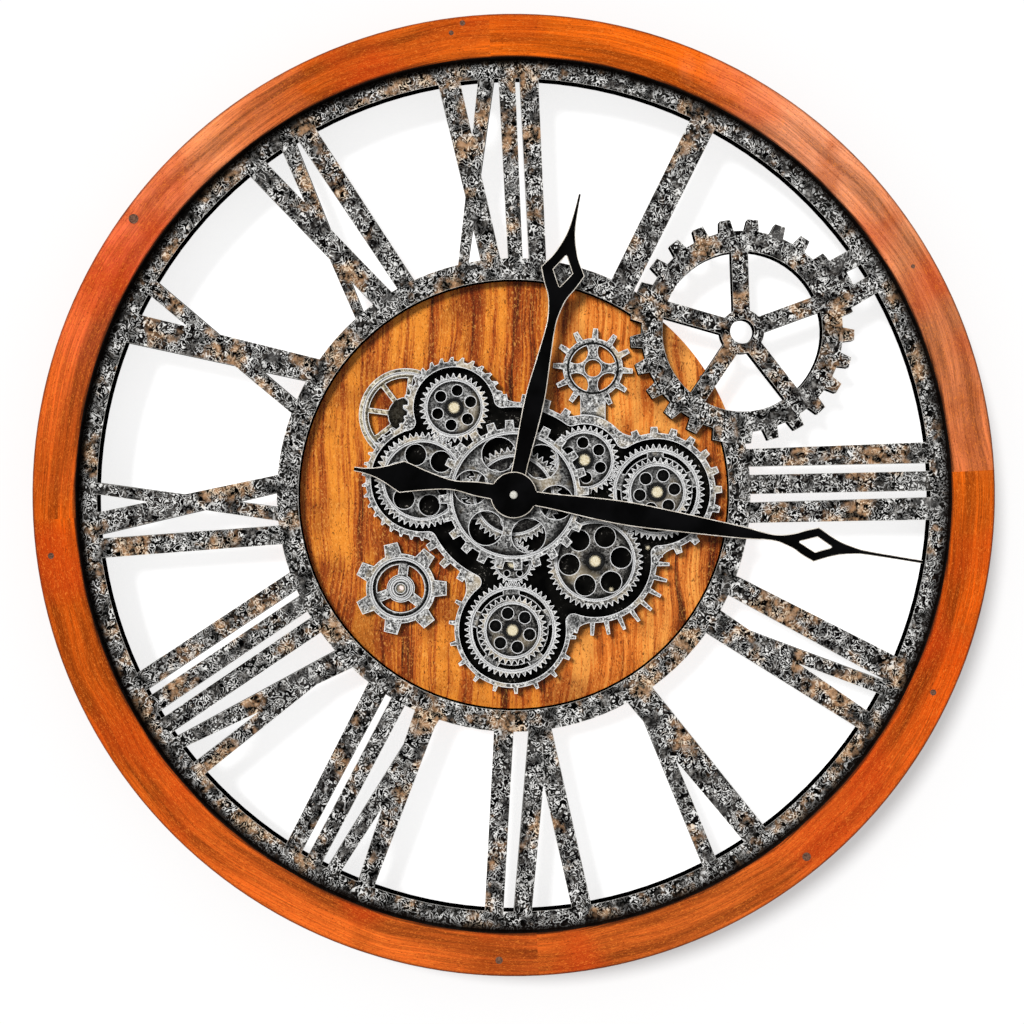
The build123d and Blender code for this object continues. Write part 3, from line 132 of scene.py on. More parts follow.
def coated(tree: Tree, ground: Any, *coats: tuple[Any, Any]) -> Socket:
    """Lays coats over a ground colour, each on top of the one before.

    Args:
        tree: the node tree.
        ground: colour value or socket below the coats.
        coats: pairs of how much of a coat shows and its hex colour or colour socket. How much is a
            share, or a pattern with the levels where the coat starts and is full and its most share.
    Returns:
        The colour on top.
    """
    for share, coat in coats:
        if isinstance(share, tuple):
            pattern, start, full, most = share
            share = add(tree, "MapRange", {0: pattern, 1: start, 2: full, 4: most}).outputs[0]
        over = linear(coat) if isinstance(coat, str) else coat
        ground = add(tree, "Mix", {0: share, 6: ground, 7: over}, data_type="RGBA").outputs[2]
    return ground


def new_material(name: str) -> tuple[Material, Tree]:
    """Starts a material without nodes.

    Args:
        name: the finish's name.
    Returns:
        The material and its node tree.
    """
    material = bpy.data.materials.new(name)
    material.use_nodes = True
    material.node_tree.nodes.clear()
    return material, material.node_tree


def new_surface(name: str) -> tuple[Material, Tree, Node]:
    """Starts a material with its Principled shader.

    Args:
        name: the finish's name.
    Returns:
        The material, its node tree and the shader, joined to the output.
    """
    material, tree = new_material(name)
    shader = add(tree, "BsdfPrincipled")
    add(tree, "OutputMaterial", {"Surface": shader.outputs[0]})
    return material, tree, shader


def new_object(name: str, data: bpy.types.ID) -> bpy.types.Object:
    """Puts a mesh, a lamp or a camera into the scene.

    Args:
        name: the object's name.
        data: what it shows.
    Returns:
        The new object.
    """
    thing = bpy.data.objects.new(name, data)
    bpy.context.scene.collection.objects.link(thing)
    return thing


def place_mm(tree: Tree) -> Socket:
    """Place on the clock in millimetres, which stays with a piece when it turns.

    Args:
        tree: the node tree.
    Returns:
        The place as a vector.
    """
    spot = add(tree, "TexCoord").outputs["Object"]
    return add(tree, "VectorMath", {0: spot, "Scale": 1 / MM}, operation="SCALE").outputs[0]


def in_grains(tree: Tree, place: Socket, grain: Size) -> Socket:
    """Counts a place in grains of a real size.

    Args:
        tree: the node tree.
        place: place in millimetres.
        grain: the grain's size along each axis.
    Returns:
        The place, with one grain as its unit.
    """
    counts = tuple(1 / size for size in grain)
    return add(tree, "VectorMath", {0: place, 1: counts}, operation="MULTIPLY").outputs[0]


def radius_mm(tree: Tree, spot: Socket, middle: tuple[float, float] = (0.0, 0.0)) -> Socket:
    """Distance from an axis that points at the viewer.

    Args:
        tree: the node tree.
        spot: place in millimetres.
        middle: the axis's place, across and up.
    Returns:
        The distance in millimetres.
    """
    flat = add(tree, "VectorMath", {0: spot, 1: (1.0, 0.0, 1.0)}, operation="MULTIPLY").outputs[0]
    axis = (middle[0], 0.0, middle[1])
    return add(tree, "VectorMath", {0: flat, 1: axis}, operation="DISTANCE").outputs["Value"]


def front_share(tree: Tree) -> Socket:
    """Tells faces towards the viewer or the wall from the cut sides between them.

    Args:
        tree: the node tree.
    Returns:
        1 on the faces and 0 on the sides.
    """
    normal = add(tree, "TexCoord").outputs["Normal"]
    depth = add(tree, "SeparateXYZ", {0: normal}).outputs["Y"]
    lean = add(tree, "Math", {0: depth}, operation="ABSOLUTE").outputs[0]
    return add(tree, "MapRange", {0: lean, 1: SIDE_LEAN, 2: FRONT_LEAN}).outputs[0]


def near_edge_band(tree: Tree, reach: float) -> Socket:
    """Share of an edge band: rubbed paint and painted highlight, and on the pins painted shade.

    Args:
        tree: the node tree.
        reach: how far in from the edge the band goes.
    Returns:
        0 on flat faces, rising to 1 at an edge.
    """
    rounded = add(tree, "Bevel", {"Radius": reach * MM}, samples=EDGE_SAMPLES).outputs[0]
    sharp = add(tree, "NewGeometry").outputs["Normal"]
    match = add(tree, "VectorMath", {0: rounded, 1: sharp}, operation="DOT_PRODUCT").outputs["Value"]
    return add(tree, "MapRange", {0: match, 1: EDGE_BAND_STARTS, 2: EDGE_BAND_FULL}).outputs[0]


def dress(material: Material, *nodes: str) -> None:
    """Gives carried-over pieces a finish.

    Args:
        material: the finish.
        nodes: names of the pieces.
    """
    for name in nodes:
        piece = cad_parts[name]
        if not piece.material_slots:
            piece.data.materials.append(material)
        for place in piece.material_slots:
            place.material = material
        LOG.info("%s: %s", name, material.name)


class Tone(Enum):
    """Shades that the silver paint has worn to, from a washed hollow to a rubbed top."""
    BRIGHT = ((0.36, "#060607"), (0.43, "#555555"), (0.52, "#9C9B99"), (0.64, "#F2F2F0"))
    GREY = ((0.37, "#040404"), (0.44, "#413F3D"), (0.53, "#85827D"), (0.66, "#E6E4DF"))
    CREAM = ((0.36, "#2A251C"), (0.43, "#7E725C"), (0.53, "#C4B798"), (0.66, "#F5EEDD"))


class Finish:
    """What finishes share: the depth and strength of their relief, and how they take the light."""
    relief: float = 0.5
    strength: float = 0.35
    metallic: float = 0.0
    roughness: float = 0.5
    shine: float = 0.5

    def join(self, tree: Tree, shader: Node, colour: Socket, height: Socket) -> None:
        """Joins colour and relief to the shader.

        Args:
            tree: the node tree.
            shader: the material's shader.
            colour: the colour on top.
            height: the relief, as a share of its depth.
        """
        bump = add(tree, "Bump", {"Strength": self.strength, "Distance": self.relief * MM, "Height": height})
        feed(tree, shader, {"Base Color": colour, "Normal": bump.outputs[0], "Metallic": self.metallic,
                            "Roughness": self.roughness, "Specular IOR Level": self.shine})


@dataclass(frozen=True)
class StainedPine(Finish):
    """Sawn pine segment, wiped with orange stain and lacquered semi-gloss.

    The stain soaks in unevenly, so the eye sees red-brown clouds and pale hard streaks along the
    grain, hair-fine sanding scratches and edges burnt almost black. Grain sizes run along the wood,
    across it and into it. The scratches are drawn as coarse as they need to show.
    """
    name: str
    middle_angle: float
    stain: Stops
    fibre: Size = (34.0, 0.75, 2.5)
    growth_ring: Size = (150.0, 7.5, 10.0)
    scratch: Size = (2.6, 0.9, 2.0)
    sway_length: float = 90.0
    sway: float = 16.0
    cloud: float = 34.0
    wander: float = 0.22
    glaze: float = 62.0
    fibre_height: float = 0.5
    relief: float = 0.4
    strength: float = 0.22
    roughness: float = 0.4
    shine: float = 0.08
    mean_radius: float = 284.0
    inner_radius: float = 270.7
    outer_radius: float = 298.0
    shaded_inner_side: float = 275.0
    outer_side: float = 290.0
    edge_width: float = 2.4
    fray: float = 3.0

    def material(self) -> Material:
        """Builds the lacquered wood of one rim segment.

        Returns:
            The finish.
        """
        material, tree, shader = new_surface(self.name)
        spot = place_mm(tree)
        turned = add(tree, "VectorRotate", {"Vector": spot, "Angle": math.radians(self.middle_angle)},
                     rotation_type="Y_AXIS").outputs[0]
        parts = add(tree, "SeparateXYZ", {0: turned}).outputs
        angle = add(tree, "Math", {0: parts["Z"], 1: parts["X"]}, operation="ARCTAN2").outputs[0]
        radius = radius_mm(tree, turned)
        arc = add(tree, "Math", {0: angle, 1: self.mean_radius}, operation="MULTIPLY").outputs[0]
        sway = add(tree, "TexNoise", {"Vector": spot, "Scale": 1 / self.sway_length,
                                      "Detail": 1.0}).outputs[0]
        swing = add(tree, "Math", {0: sway, 1: self.sway, 2: radius}, operation="MULTIPLY_ADD").outputs[0]
        board = add(tree, "CombineXYZ", {"X": arc, "Y": swing, "Z": parts["Y"]}).outputs[0]
        fibre = add(tree, "TexNoise", {"Vector": in_grains(tree, board, self.fibre), "Scale": 1.0,
                                       "Detail": 4.0, "Roughness": 0.62}).outputs[0]
        ring = add(tree, "TexNoise", {"Vector": in_grains(tree, board, self.growth_ring),
                                      "Scale": 1.0}).outputs[0]
        hair = add(tree, "TexNoise", {"Vector": in_grains(tree, board, self.scratch), "Scale": 1.0,
                                      "Distortion": 2.2}).outputs[0]
        cloud = add(tree, "TexNoise", {"Vector": spot, "Scale": 1 / self.cloud, "Detail": 3.0,
                                       "Roughness": 0.6}).outputs[0]
        glaze = add(tree, "TexNoise", {"Vector": spot, "Scale": 1 / self.glaze, "Roughness": 0.4}).outputs[0]
        # The stain's colour, with the painted glare on the upper right segment, changes along the segment,
        # and the clouds make it wander
        share = add(tree, "MapRange", {0: angle, 1: -math.pi / 4, 2: math.pi / 4}).outputs[0]
        wander = add(tree, "Math", {0: cloud, 1: self.wander, 2: share}, operation="MULTIPLY_ADD").outputs[0]
        shifted = add(tree, "Math", {0: wander, 1: self.wander / 2}, operation="SUBTRACT").outputs[0]
        stain = set_stops(add(tree, "ValToRGB", {0: shifted}), self.stain)
        light = add(tree, "MapRange", {0: fibre, 1: 0.32, 2: 0.68, 3: 0.56, 4: 1.26}).outputs[0]
        tint = add(tree, "MapRange", {0: ring, 1: 0.36, 2: 0.64, 3: 0.56, 4: 1.34}).outputs[0]
        level = add(tree, "Math", {0: light, 1: tint}, operation="MULTIPLY").outputs[0]
        grained = add(tree, "VectorMath", {0: stain, "Scale": level}, operation="SCALE").outputs[0]
        hair_line = add(tree, "MapRange", {0: hair, 1: 0.56, 2: 0.66, 4: 0.5}).outputs[0]
        face = coated(tree, grained, ((cloud, 0.56, 0.7, 0.45), "#A0430F"),
                      ((glaze, 0.52, 0.66, 0.55), "#C83C0C"), (hair_line, "#FF8E34"),
                      ((hair, 0.41, 0.3, 0.7), "#6A2606"), (self.edges(tree, radius, fibre), "#3A1B0C"))
        # The inner cut side is painted shade, near black, and the outer cut side keeps the orange stain
        side = coated(tree, linear("#120A07"), ((radius, self.shaded_inner_side, self.outer_side, 1.0), "#A2501A"))
        streaked = add(tree, "VectorMath", {0: side, "Scale": level}, operation="SCALE").outputs[0]
        colour = coated(tree, streaked, (front_share(tree), face))
        height = add(tree, "Math", {0: fibre, 1: self.fibre_height, 2: hair_line},
                     operation="MULTIPLY_ADD").outputs[0]
        self.join(tree, shader, colour, height)
        return material

    def edges(self, tree: Tree, radius: Socket, fibre: Socket) -> Socket:
        """Share of burnt edge at a radius.

        Args:
            tree: the node tree.
            radius: distance from the hands' axis.
            fibre: grain that frays the burn.
        Returns:
            0 in the middle of the wood, rising to 1 at both edges.
        """
        frayed = add(tree, "Math", {0: fibre, 1: self.fray, 2: radius}, operation="MULTIPLY_ADD").outputs[0]
        level = add(tree, "Math", {0: frayed, 1: self.fray / 2}, operation="SUBTRACT").outputs[0]
        inner, outer = [
            add(tree, "MapRange", {0: level, 1: edge + inward * self.edge_width, 2: edge},
                interpolation_type="SMOOTHSTEP").outputs[0]
            for edge, inward in ((self.inner_radius, 1), (self.outer_radius, -1))]
        return add(tree, "Math", {0: inner, 1: outer}, operation="MAXIMUM").outputs[0]


@dataclass(frozen=True)
class DistressedPaint(Finish):
    """Black milk paint on a cut board, sponged with grey and rubbed back.

    Pale curls of the undercoat show through, tan clouds of bare board lie between them, the top
    edges are rubbed back and carry a painted highlight, and the cut sides stay black. A band of
    painted shade darkens the plate beside the rim. The curls are drawn as coarse as they need
    to show.
    """
    name: str = "distressed black paint"
    sponge: float = 5.0
    curl: float = 3.9
    curl_turns: float = 4.6
    curl_patch: float = 9.0
    curl_height: float = 0.6
    cloud: float = 26.0
    edge: float = 0.55
    # Share of the edge band covered by rubbed paint and a painted highlight
    rubbed: float = 0.6
    # Most share of the band of painted shade beside the rim
    painted_rim_shade: float = 0.92
    roughness: float = 0.7
    shine: float = 0.0
    shaded_radius: float = 264.5
    rim_radius: float = 270.5

    def material(self) -> Material:
        """Builds the paint of the dial plate.

        Returns:
            The finish.
        """
        material, tree, shader = new_surface(self.name)
        spot = place_mm(tree)
        base = add(tree, "TexNoise", {"Vector": spot, "Scale": 1 / self.sponge, "Detail": 4.0,
                                      "Roughness": 0.6}).outputs[0]
        ground = set_stops(add(tree, "ValToRGB", {0: base}),
                           ((0.42, "#020202"), (0.5, "#141312"), (0.6, "#3E3B38"), (0.7, "#8C8985")))
        cloud = add(tree, "TexNoise", {"Vector": spot, "Scale": 1 / self.cloud, "Detail": 3.0,
                                       "Roughness": 0.65}, noise_dimensions="4D").outputs[0]
        tan_share = add(tree, "MapRange", {0: cloud, 1: 0.52, 2: 0.62, 4: 0.8}).outputs[0]
        patch = add(tree, "MapRange", {0: base, 1: 0.44, 2: 0.6}).outputs[0]
        tan_here = add(tree, "Math", {0: tan_share, 1: patch}, operation="MULTIPLY").outputs[0]
        gate = add(tree, "TexNoise", {"Vector": spot, "Scale": 1 / self.curl_patch}).outputs[0]
        shown = add(tree, "MapRange", {0: gate, 1: 0.38, 2: 0.58, 3: 0.08, 4: 0.9}).outputs[0]
        line = self.curls(tree, spot)
        curls = add(tree, "Math", {0: line, 1: shown}, operation="MULTIPLY").outputs[0]
        bare = coated(tree, linear("#F4F3F0"), (tan_share, "#F0D2AC"))
        # Painted shade: a near-black band beside the rim, where the rim's lip shades the plate
        painted_rim_shade = add(tree, "MapRange", {0: radius_mm(tree, spot), 1: self.shaded_radius, 2: self.rim_radius,
                                      4: self.painted_rim_shade}, interpolation_type="SMOOTHSTEP").outputs[0]
        # Rubbed paint and a painted highlight whiten the top edges
        rub_and_highlight = add(tree, "Math", {0: near_edge_band(tree, self.edge), 1: self.rubbed},
                  operation="MULTIPLY").outputs[0]
        face = coated(tree, ground, (tan_here, "#B98D66"), ((cloud, 0.4, 0.3, 0.25), "#8A8886"),
                      (curls, bare), (painted_rim_shade, "#120D0B"), (rub_and_highlight, "#D9D6D0"))
        colour = coated(tree, linear("#010101"), (front_share(tree), face))
        height = add(tree, "Math", {0: curls, 1: self.curl_height, 2: base},
                     operation="MULTIPLY_ADD").outputs[0]
        self.join(tree, shader, colour, height)
        return material

    def curls(self, tree: Tree, spot: Socket) -> Socket:
        """Curly raised lines that run side by side.

        Args:
            tree: the node tree.
            spot: place in millimetres.
        Returns:
            1 on a line and 0 off it.
        """
        noise = add(tree, "TexNoise", {"Vector": spot, "Scale": 1 / self.curl, "Detail": 1.0,
                                       "Roughness": 0.4, "Distortion": 1.3}, noise_dimensions="4D").outputs[0]
        many = add(tree, "Math", {0: noise, 1: self.curl_turns}, operation="MULTIPLY").outputs[0]
        part = add(tree, "Math", {0: many}, operation="FRACT").outputs[0]
        off = add(tree, "Math", {0: part, 1: 0.5}, operation="SUBTRACT").outputs[0]
        away = add(tree, "Math", {0: off}, operation="ABSOLUTE").outputs[0]
        return add(tree, "MapRange", {0: away, 1: 0.2, 2: 0.1}).outputs[0]


@dataclass(frozen=True)
class BlackWashedSilver(Finish):
    """Cast resin cog ware, sprayed silver and wiped with black wash.

    The wash stays in the hammered hollows, painted shade darkens the corners along with it, and the
    tops are rubbed bright; the edges carry rubbed paint and a painted highlight. The rings give the
    wash, painted shade and painted highlight from the middle out, as shares of the reach.
    """
    name: str
    tone: Tone
    middle: tuple[float, float]
    reach: float
    rings: Stops
    hollow: float = 1.7
    cloud: float = 15.0
    edge: float = 0.9
    corner: float = 3.0
    wash: float = 0.6
    metallic: float = 0.05
    roughness: float = 0.42
    shine: float = 0.15

    def material(self) -> Material:
        """Builds the washed silver.

        Returns:
            The finish.
        """
        material, tree, shader = new_surface(self.name)
        spot = place_mm(tree)
        dents = add(tree, "TexNoise", {"Vector": spot, "Scale": 1 / self.hollow, "Detail": 3.0,
                                       "Roughness": 0.6, "Distortion": 1.1}).outputs[0]
        ground = set_stops(add(tree, "ValToRGB", {0: dents}), self.tone.value)
        cloud = add(tree, "TexNoise", {"Vector": spot, "Scale": 1 / self.cloud, "Detail": 3.0}).outputs[0]
        worn = coated(tree, ground, ((cloud, 0.54, 0.66, 0.5), "#DCC9A8"),
                      ((cloud, 0.44, 0.34, self.wash), "#242425"))
        away = radius_mm(tree, spot, self.middle)
        share = add(tree, "Math", {0: away, 1: self.reach}, operation="DIVIDE").outputs[0]
        level = set_stops(add(tree, "ValToRGB", {0: share}), self.rings)
        ringed = add(tree, "VectorMath", {0: worn, 1: level}, operation="MULTIPLY").outputs[0]
        wash_and_shade_nook = add(tree, "AmbientOcclusion", {"Distance": self.corner * MM},
                   samples=EDGE_SAMPLES).outputs["AO"]
        # The black wash and painted shade darken the corners, and rubbed paint with a painted highlight
        # whitens the edges
        face = coated(tree, ringed, ((wash_and_shade_nook, 0.96, 0.74, 1.0), "#050505"),
                      (near_edge_band(tree, self.edge), "#FFFFFF"))
        colour = coated(tree, linear("#070707"), (front_share(tree), face))
        self.join(tree, shader, colour, dents)
        return material


@dataclass(frozen=True)
class StainedBoard(Finish):
    """Rough-sawn fir board with honey stain, its soft grain burnt and brushed out.

    Hard winter grain stands up dark and red-brown in long upright lines, with yellow between. Grain
    sizes run across the board, into it and up it.
    """
    name: str
    light: str
    middle: str
    dark: str
    shift: float
    shift_slope: float = 3.1
    fibre: Size = (1.5, 10 / 3, 60.0)
    band: Size = (9.0, 10 / 3, 110.0)
    curl: Size = (1.6, 0.8, 3.36)
    sway_length: float = 60.0
    sway: float = 16.0
    cloud: float = 38.0
    relief: float = 0.7
    strength: float = 0.45
    shine: float = 0.25

    def material(self) -> Material:
        """Builds one board of the centre disc.

        Returns:
            The finish.
        """
        material, tree, shader = new_surface(self.name)
        # Each board is cut from another place in the wood
        shift = (self.shift, 0.0, self.shift * self.shift_slope)
        moved = add(tree, "VectorMath", {0: place_mm(tree), 1: shift}, operation="ADD").outputs[0]
        sway = add(tree, "TexNoise", {"Vector": moved, "Scale": 1 / self.sway_length,
                                      "Detail": 1.0}).outputs["Color"]
        swing = add(tree, "VectorMath", {0: sway, 1: (self.sway, 0.0, 0.0), 2: moved},
                    operation="MULTIPLY_ADD").outputs[0]
        fibre = add(tree, "TexNoise", {"Vector": in_grains(tree, swing, self.fibre), "Scale": 1.0,
                                       "Detail": 5.0, "Roughness": 0.68}).outputs[0]
        band = add(tree, "TexNoise", {"Vector": in_grains(tree, swing, self.band), "Scale": 1.0}).outputs[0]
        curl = add(tree, "TexNoise", {"Vector": in_grains(tree, moved, self.curl), "Scale": 1.0,
                                      "Detail": 2.5, "Distortion": 2.2}).outputs[0]
        cloud = add(tree, "TexNoise", {"Vector": moved, "Scale": 1 / self.cloud}).outputs[0]
        blend = add(tree, "Mix", {0: 0.5, 2: fibre, 3: band}).outputs[0]
        wood = set_stops(add(tree, "ValToRGB", {0: blend}),
                         ((0.36, "#35160A"), (0.43, self.dark), (0.49, self.middle), (0.56, self.light)))
        # The curl's high spots are painted glints, and its low spots are darker
        face = coated(tree, wood, ((cloud, 0.52, 0.36, 0.6), "#7A2C0C"),
                      ((curl, 0.55, 0.68, 0.5), "#FFB75A"), ((curl, 0.42, 0.33, 0.75), "#3A1708"))
        colour = coated(tree, linear("#1A0D06"), (front_share(tree), face))
        height = add(tree, "Math", {0: fibre, 1: curl}, operation="ADD").outputs[0]
        self.join(tree, shader, colour, height)
        return material


@dataclass(frozen=True)
class SpeckledBlack(Finish):
    """Black painted board, dusted with a few specks of the silver spray."""
    name: str = "speckled black paint"
    speck: float = 1.6
    cloud: float = 14.0
    relief: float = 0.4
    strength: float = 0.3
    roughness: float = 0.6
    shine: float = 0.05

    def material(self) -> Material:
        """Builds the paint of the gear tray.

        Returns:
            The finish.
        """
        material, tree, shader = new_surface(self.name)
        spot = place_mm(tree)
        fleck = add(tree, "TexNoise", {"Vector": spot, "Scale": 1 / self.speck, "Detail": 3.0,
                                       "Roughness": 0.6, "Distortion": 0.8}).outputs[0]
        cloud = add(tree, "TexNoise", {"Vector": spot, "Scale": 1 / self.cloud}).outputs[0]
        gate = add(tree, "MapRange", {0: cloud, 1: 0.5, 2: 0.68, 4: 0.8}).outputs[0]
        dot = add(tree, "MapRange", {0: fleck, 1: 0.61, 2: 0.68}).outputs[0]
        share = add(tree, "Math", {0: gate, 1: dot}, operation="MULTIPLY").outputs[0]
        ground = set_stops(add(tree, "ValToRGB", {0: cloud}), ((0.35, "#020202"), (0.7, "#151412")))
        colour = coated(tree, ground, (share, "#A9A39A"))
        self.join(tree, shader, colour, fleck)
        return material


@dataclass(frozen=True)
class PlainFinish(Finish):
    """A small part's finish: one material whose tooling or moulding grain shows as a soft mottle.

    The stretch draws the grain out along each axis. Painted shade may darken the edges, as far in as
    the outline reaches.
    """
    name: str
    low: str
    high: str
    metallic: float = 0.0
    roughness: float = 0.45
    grain: float = 0.8
    stretch: Size = (1.0, 1.0, 1.0)
    outline: float = 0.0
    relief: float = 0.2
    strength: float = 0.15

    def material(self) -> Material:
        """Builds the finish.

        Returns:
            The finish.
        """
        material, tree, shader = new_surface(self.name)
        spot = in_grains(tree, place_mm(tree), self.stretch)
        grain = add(tree, "TexNoise", {"Vector": spot, "Scale": 1 / self.grain, "Detail": 3.0}).outputs[0]
        colour = set_stops(add(tree, "ValToRGB", {0: grain}), ((0.35, self.low), (0.65, self.high)))
        if self.outline:
            # The dark band along the edges is painted shade
            colour = coated(tree, colour, (near_edge_band(tree, self.outline), "#0E0B08"))
        self.join(tree, shader, colour, grain)
        return material


@dataclass(frozen=True)
class BatterySleeve:
    """Plain black shrink sleeve of a dry cell, whose film gives a sharp, glassy shine."""
    name: str = "shrink sleeve"
    mottle: float = 2.0
    roughness: float = 0.3
    film: float = 0.4

    def material(self) -> Material:
        """Builds the sleeve.

        Returns:
            The finish.
        """
        material, tree, shader = new_surface(self.name)
        grain = add(tree, "TexNoise", {"Vector": place_mm(tree), "Scale": 1 / self.mottle}).outputs[0]
        colour = set_stops(add(tree, "ValToRGB", {0: grain}), ((0.4, "#1B1B1E"), (0.6, "#26262A")))
        feed(tree, shader, {"Base Color": colour, "Roughness": self.roughness, "Coat Weight": self.film})
        return material


@dataclass(frozen=True)
class SatinBlackAluminium:
    """Pressed aluminium, painted satin black.

    The ridge splits the blade into a lit and a dark slope; dust and handling leave it faintly mottled.
    """
    name: str = "satin black aluminium"
    mottle: float = 22.0
    roughness: float = 0.45
    shine: float = 0.06

    def material(self) -> Material:
        """Builds the paint of a hand.

        Returns:
            The finish.
        """
        material, tree, shader = new_surface(self.name)
        cloud = add(tree, "TexNoise", {"Vector": place_mm(tree), "Scale": 1 / self.mottle,
                                       "Detail": 4.0}).outputs[0]
        colour = set_stops(add(tree, "ValToRGB", {0: cloud}), ((0.4, "#010101"), (0.62, "#080809")))
        feed(tree, shader, {"Base Color": colour, "Roughness": self.roughness,
                            "Specular IOR Level": self.shine})
        return material


@dataclass
class Rim:
    """Four wooden segments and the nails in them."""
    stains_and_glare: dict[str, tuple[float, Stops]] = field(default_factory=lambda: {
        # The pale pink stops of the upper right segment are a painted reflection of a soft light
        "rim_segment_upper_right": (48.0, (
            (0.0, "#CC6A3A"), (0.3, "#DD8A5C"), (0.52, "#E39068"), (0.72, "#E0600F"), (1.0, "#E3640C"))),
        "rim_segment_upper_left": (138.0, (
            (0.0, "#D85F10"), (0.25, "#CE5815"), (0.42, "#E98A58"), (0.62, "#D95F3A"), (0.8, "#D05A1F"),
            (1.0, "#D0560A"))),
        "rim_segment_lower_left": (228.0, (
            (0.0, "#CC5208"), (0.3, "#CB560E"), (0.6, "#CC591B"), (0.8, "#D5611F"), (1.0, "#B64E18"))),
        "rim_segment_lower_right": (318.0, (
            (0.0, "#C2561A"), (0.25, "#D56423"), (0.5, "#CC5618"), (0.75, "#C94A05"), (1.0, "#D65E0E"))),
    })
    # Rust and old lacquer leave the sunk nail heads brown and dull
    nail_iron: PlainFinish = PlainFinish("rust-browned nail iron", "#4A2F22", "#8A6450", 0.2, 0.6, 1.2)

    def build(self) -> None:
        """Dresses the rim."""
        for name, (angle, stain) in self.stains_and_glare.items():
            wood = StainedPine("stained pine " + name.removeprefix("rim_segment_"), angle, stain)
            dress(wood.material(), name)
        dress(self.nail_iron.material(), "rim_nails")


@dataclass
class Dial:
    """Dial plate with its numerals and large gear, and the boards behind its centre."""
    boards: dict[str, tuple[str, str, str, float]] = field(default_factory=lambda: {
        "centre_board_left": ("#EE9030", "#BC5A1E", "#823610", 0.0),
        "centre_board_middle_left": ("#F09030", "#B8541A", "#803410", 41.0),
        "centre_board_middle_right": ("#FFA84C", "#EA7E2C", "#B85818", 97.0),
        "centre_board_right": ("#FFAA50", "#DE782C", "#A04A18", 151.0),
    })
    # Zinc plating is pale, with a soft grey shine
    screw_steel: PlainFinish = PlainFinish("zinc plated steel", "#9A9C9E", "#C6C8CA", 1.0, 0.35, 0.5)

    def build(self) -> None:
        """Dresses the plate, the boards and their screws."""
        dress(DistressedPaint().material(), "dial_plate")
        for name, (light, middle, dark, shift) in self.boards.items():
            title = "stained fir " + name.removeprefix("centre_board_")
            dress(StainedBoard(title, light, middle, dark, shift).material(), name)
        dress(self.screw_steel.material(), "wood_screws")


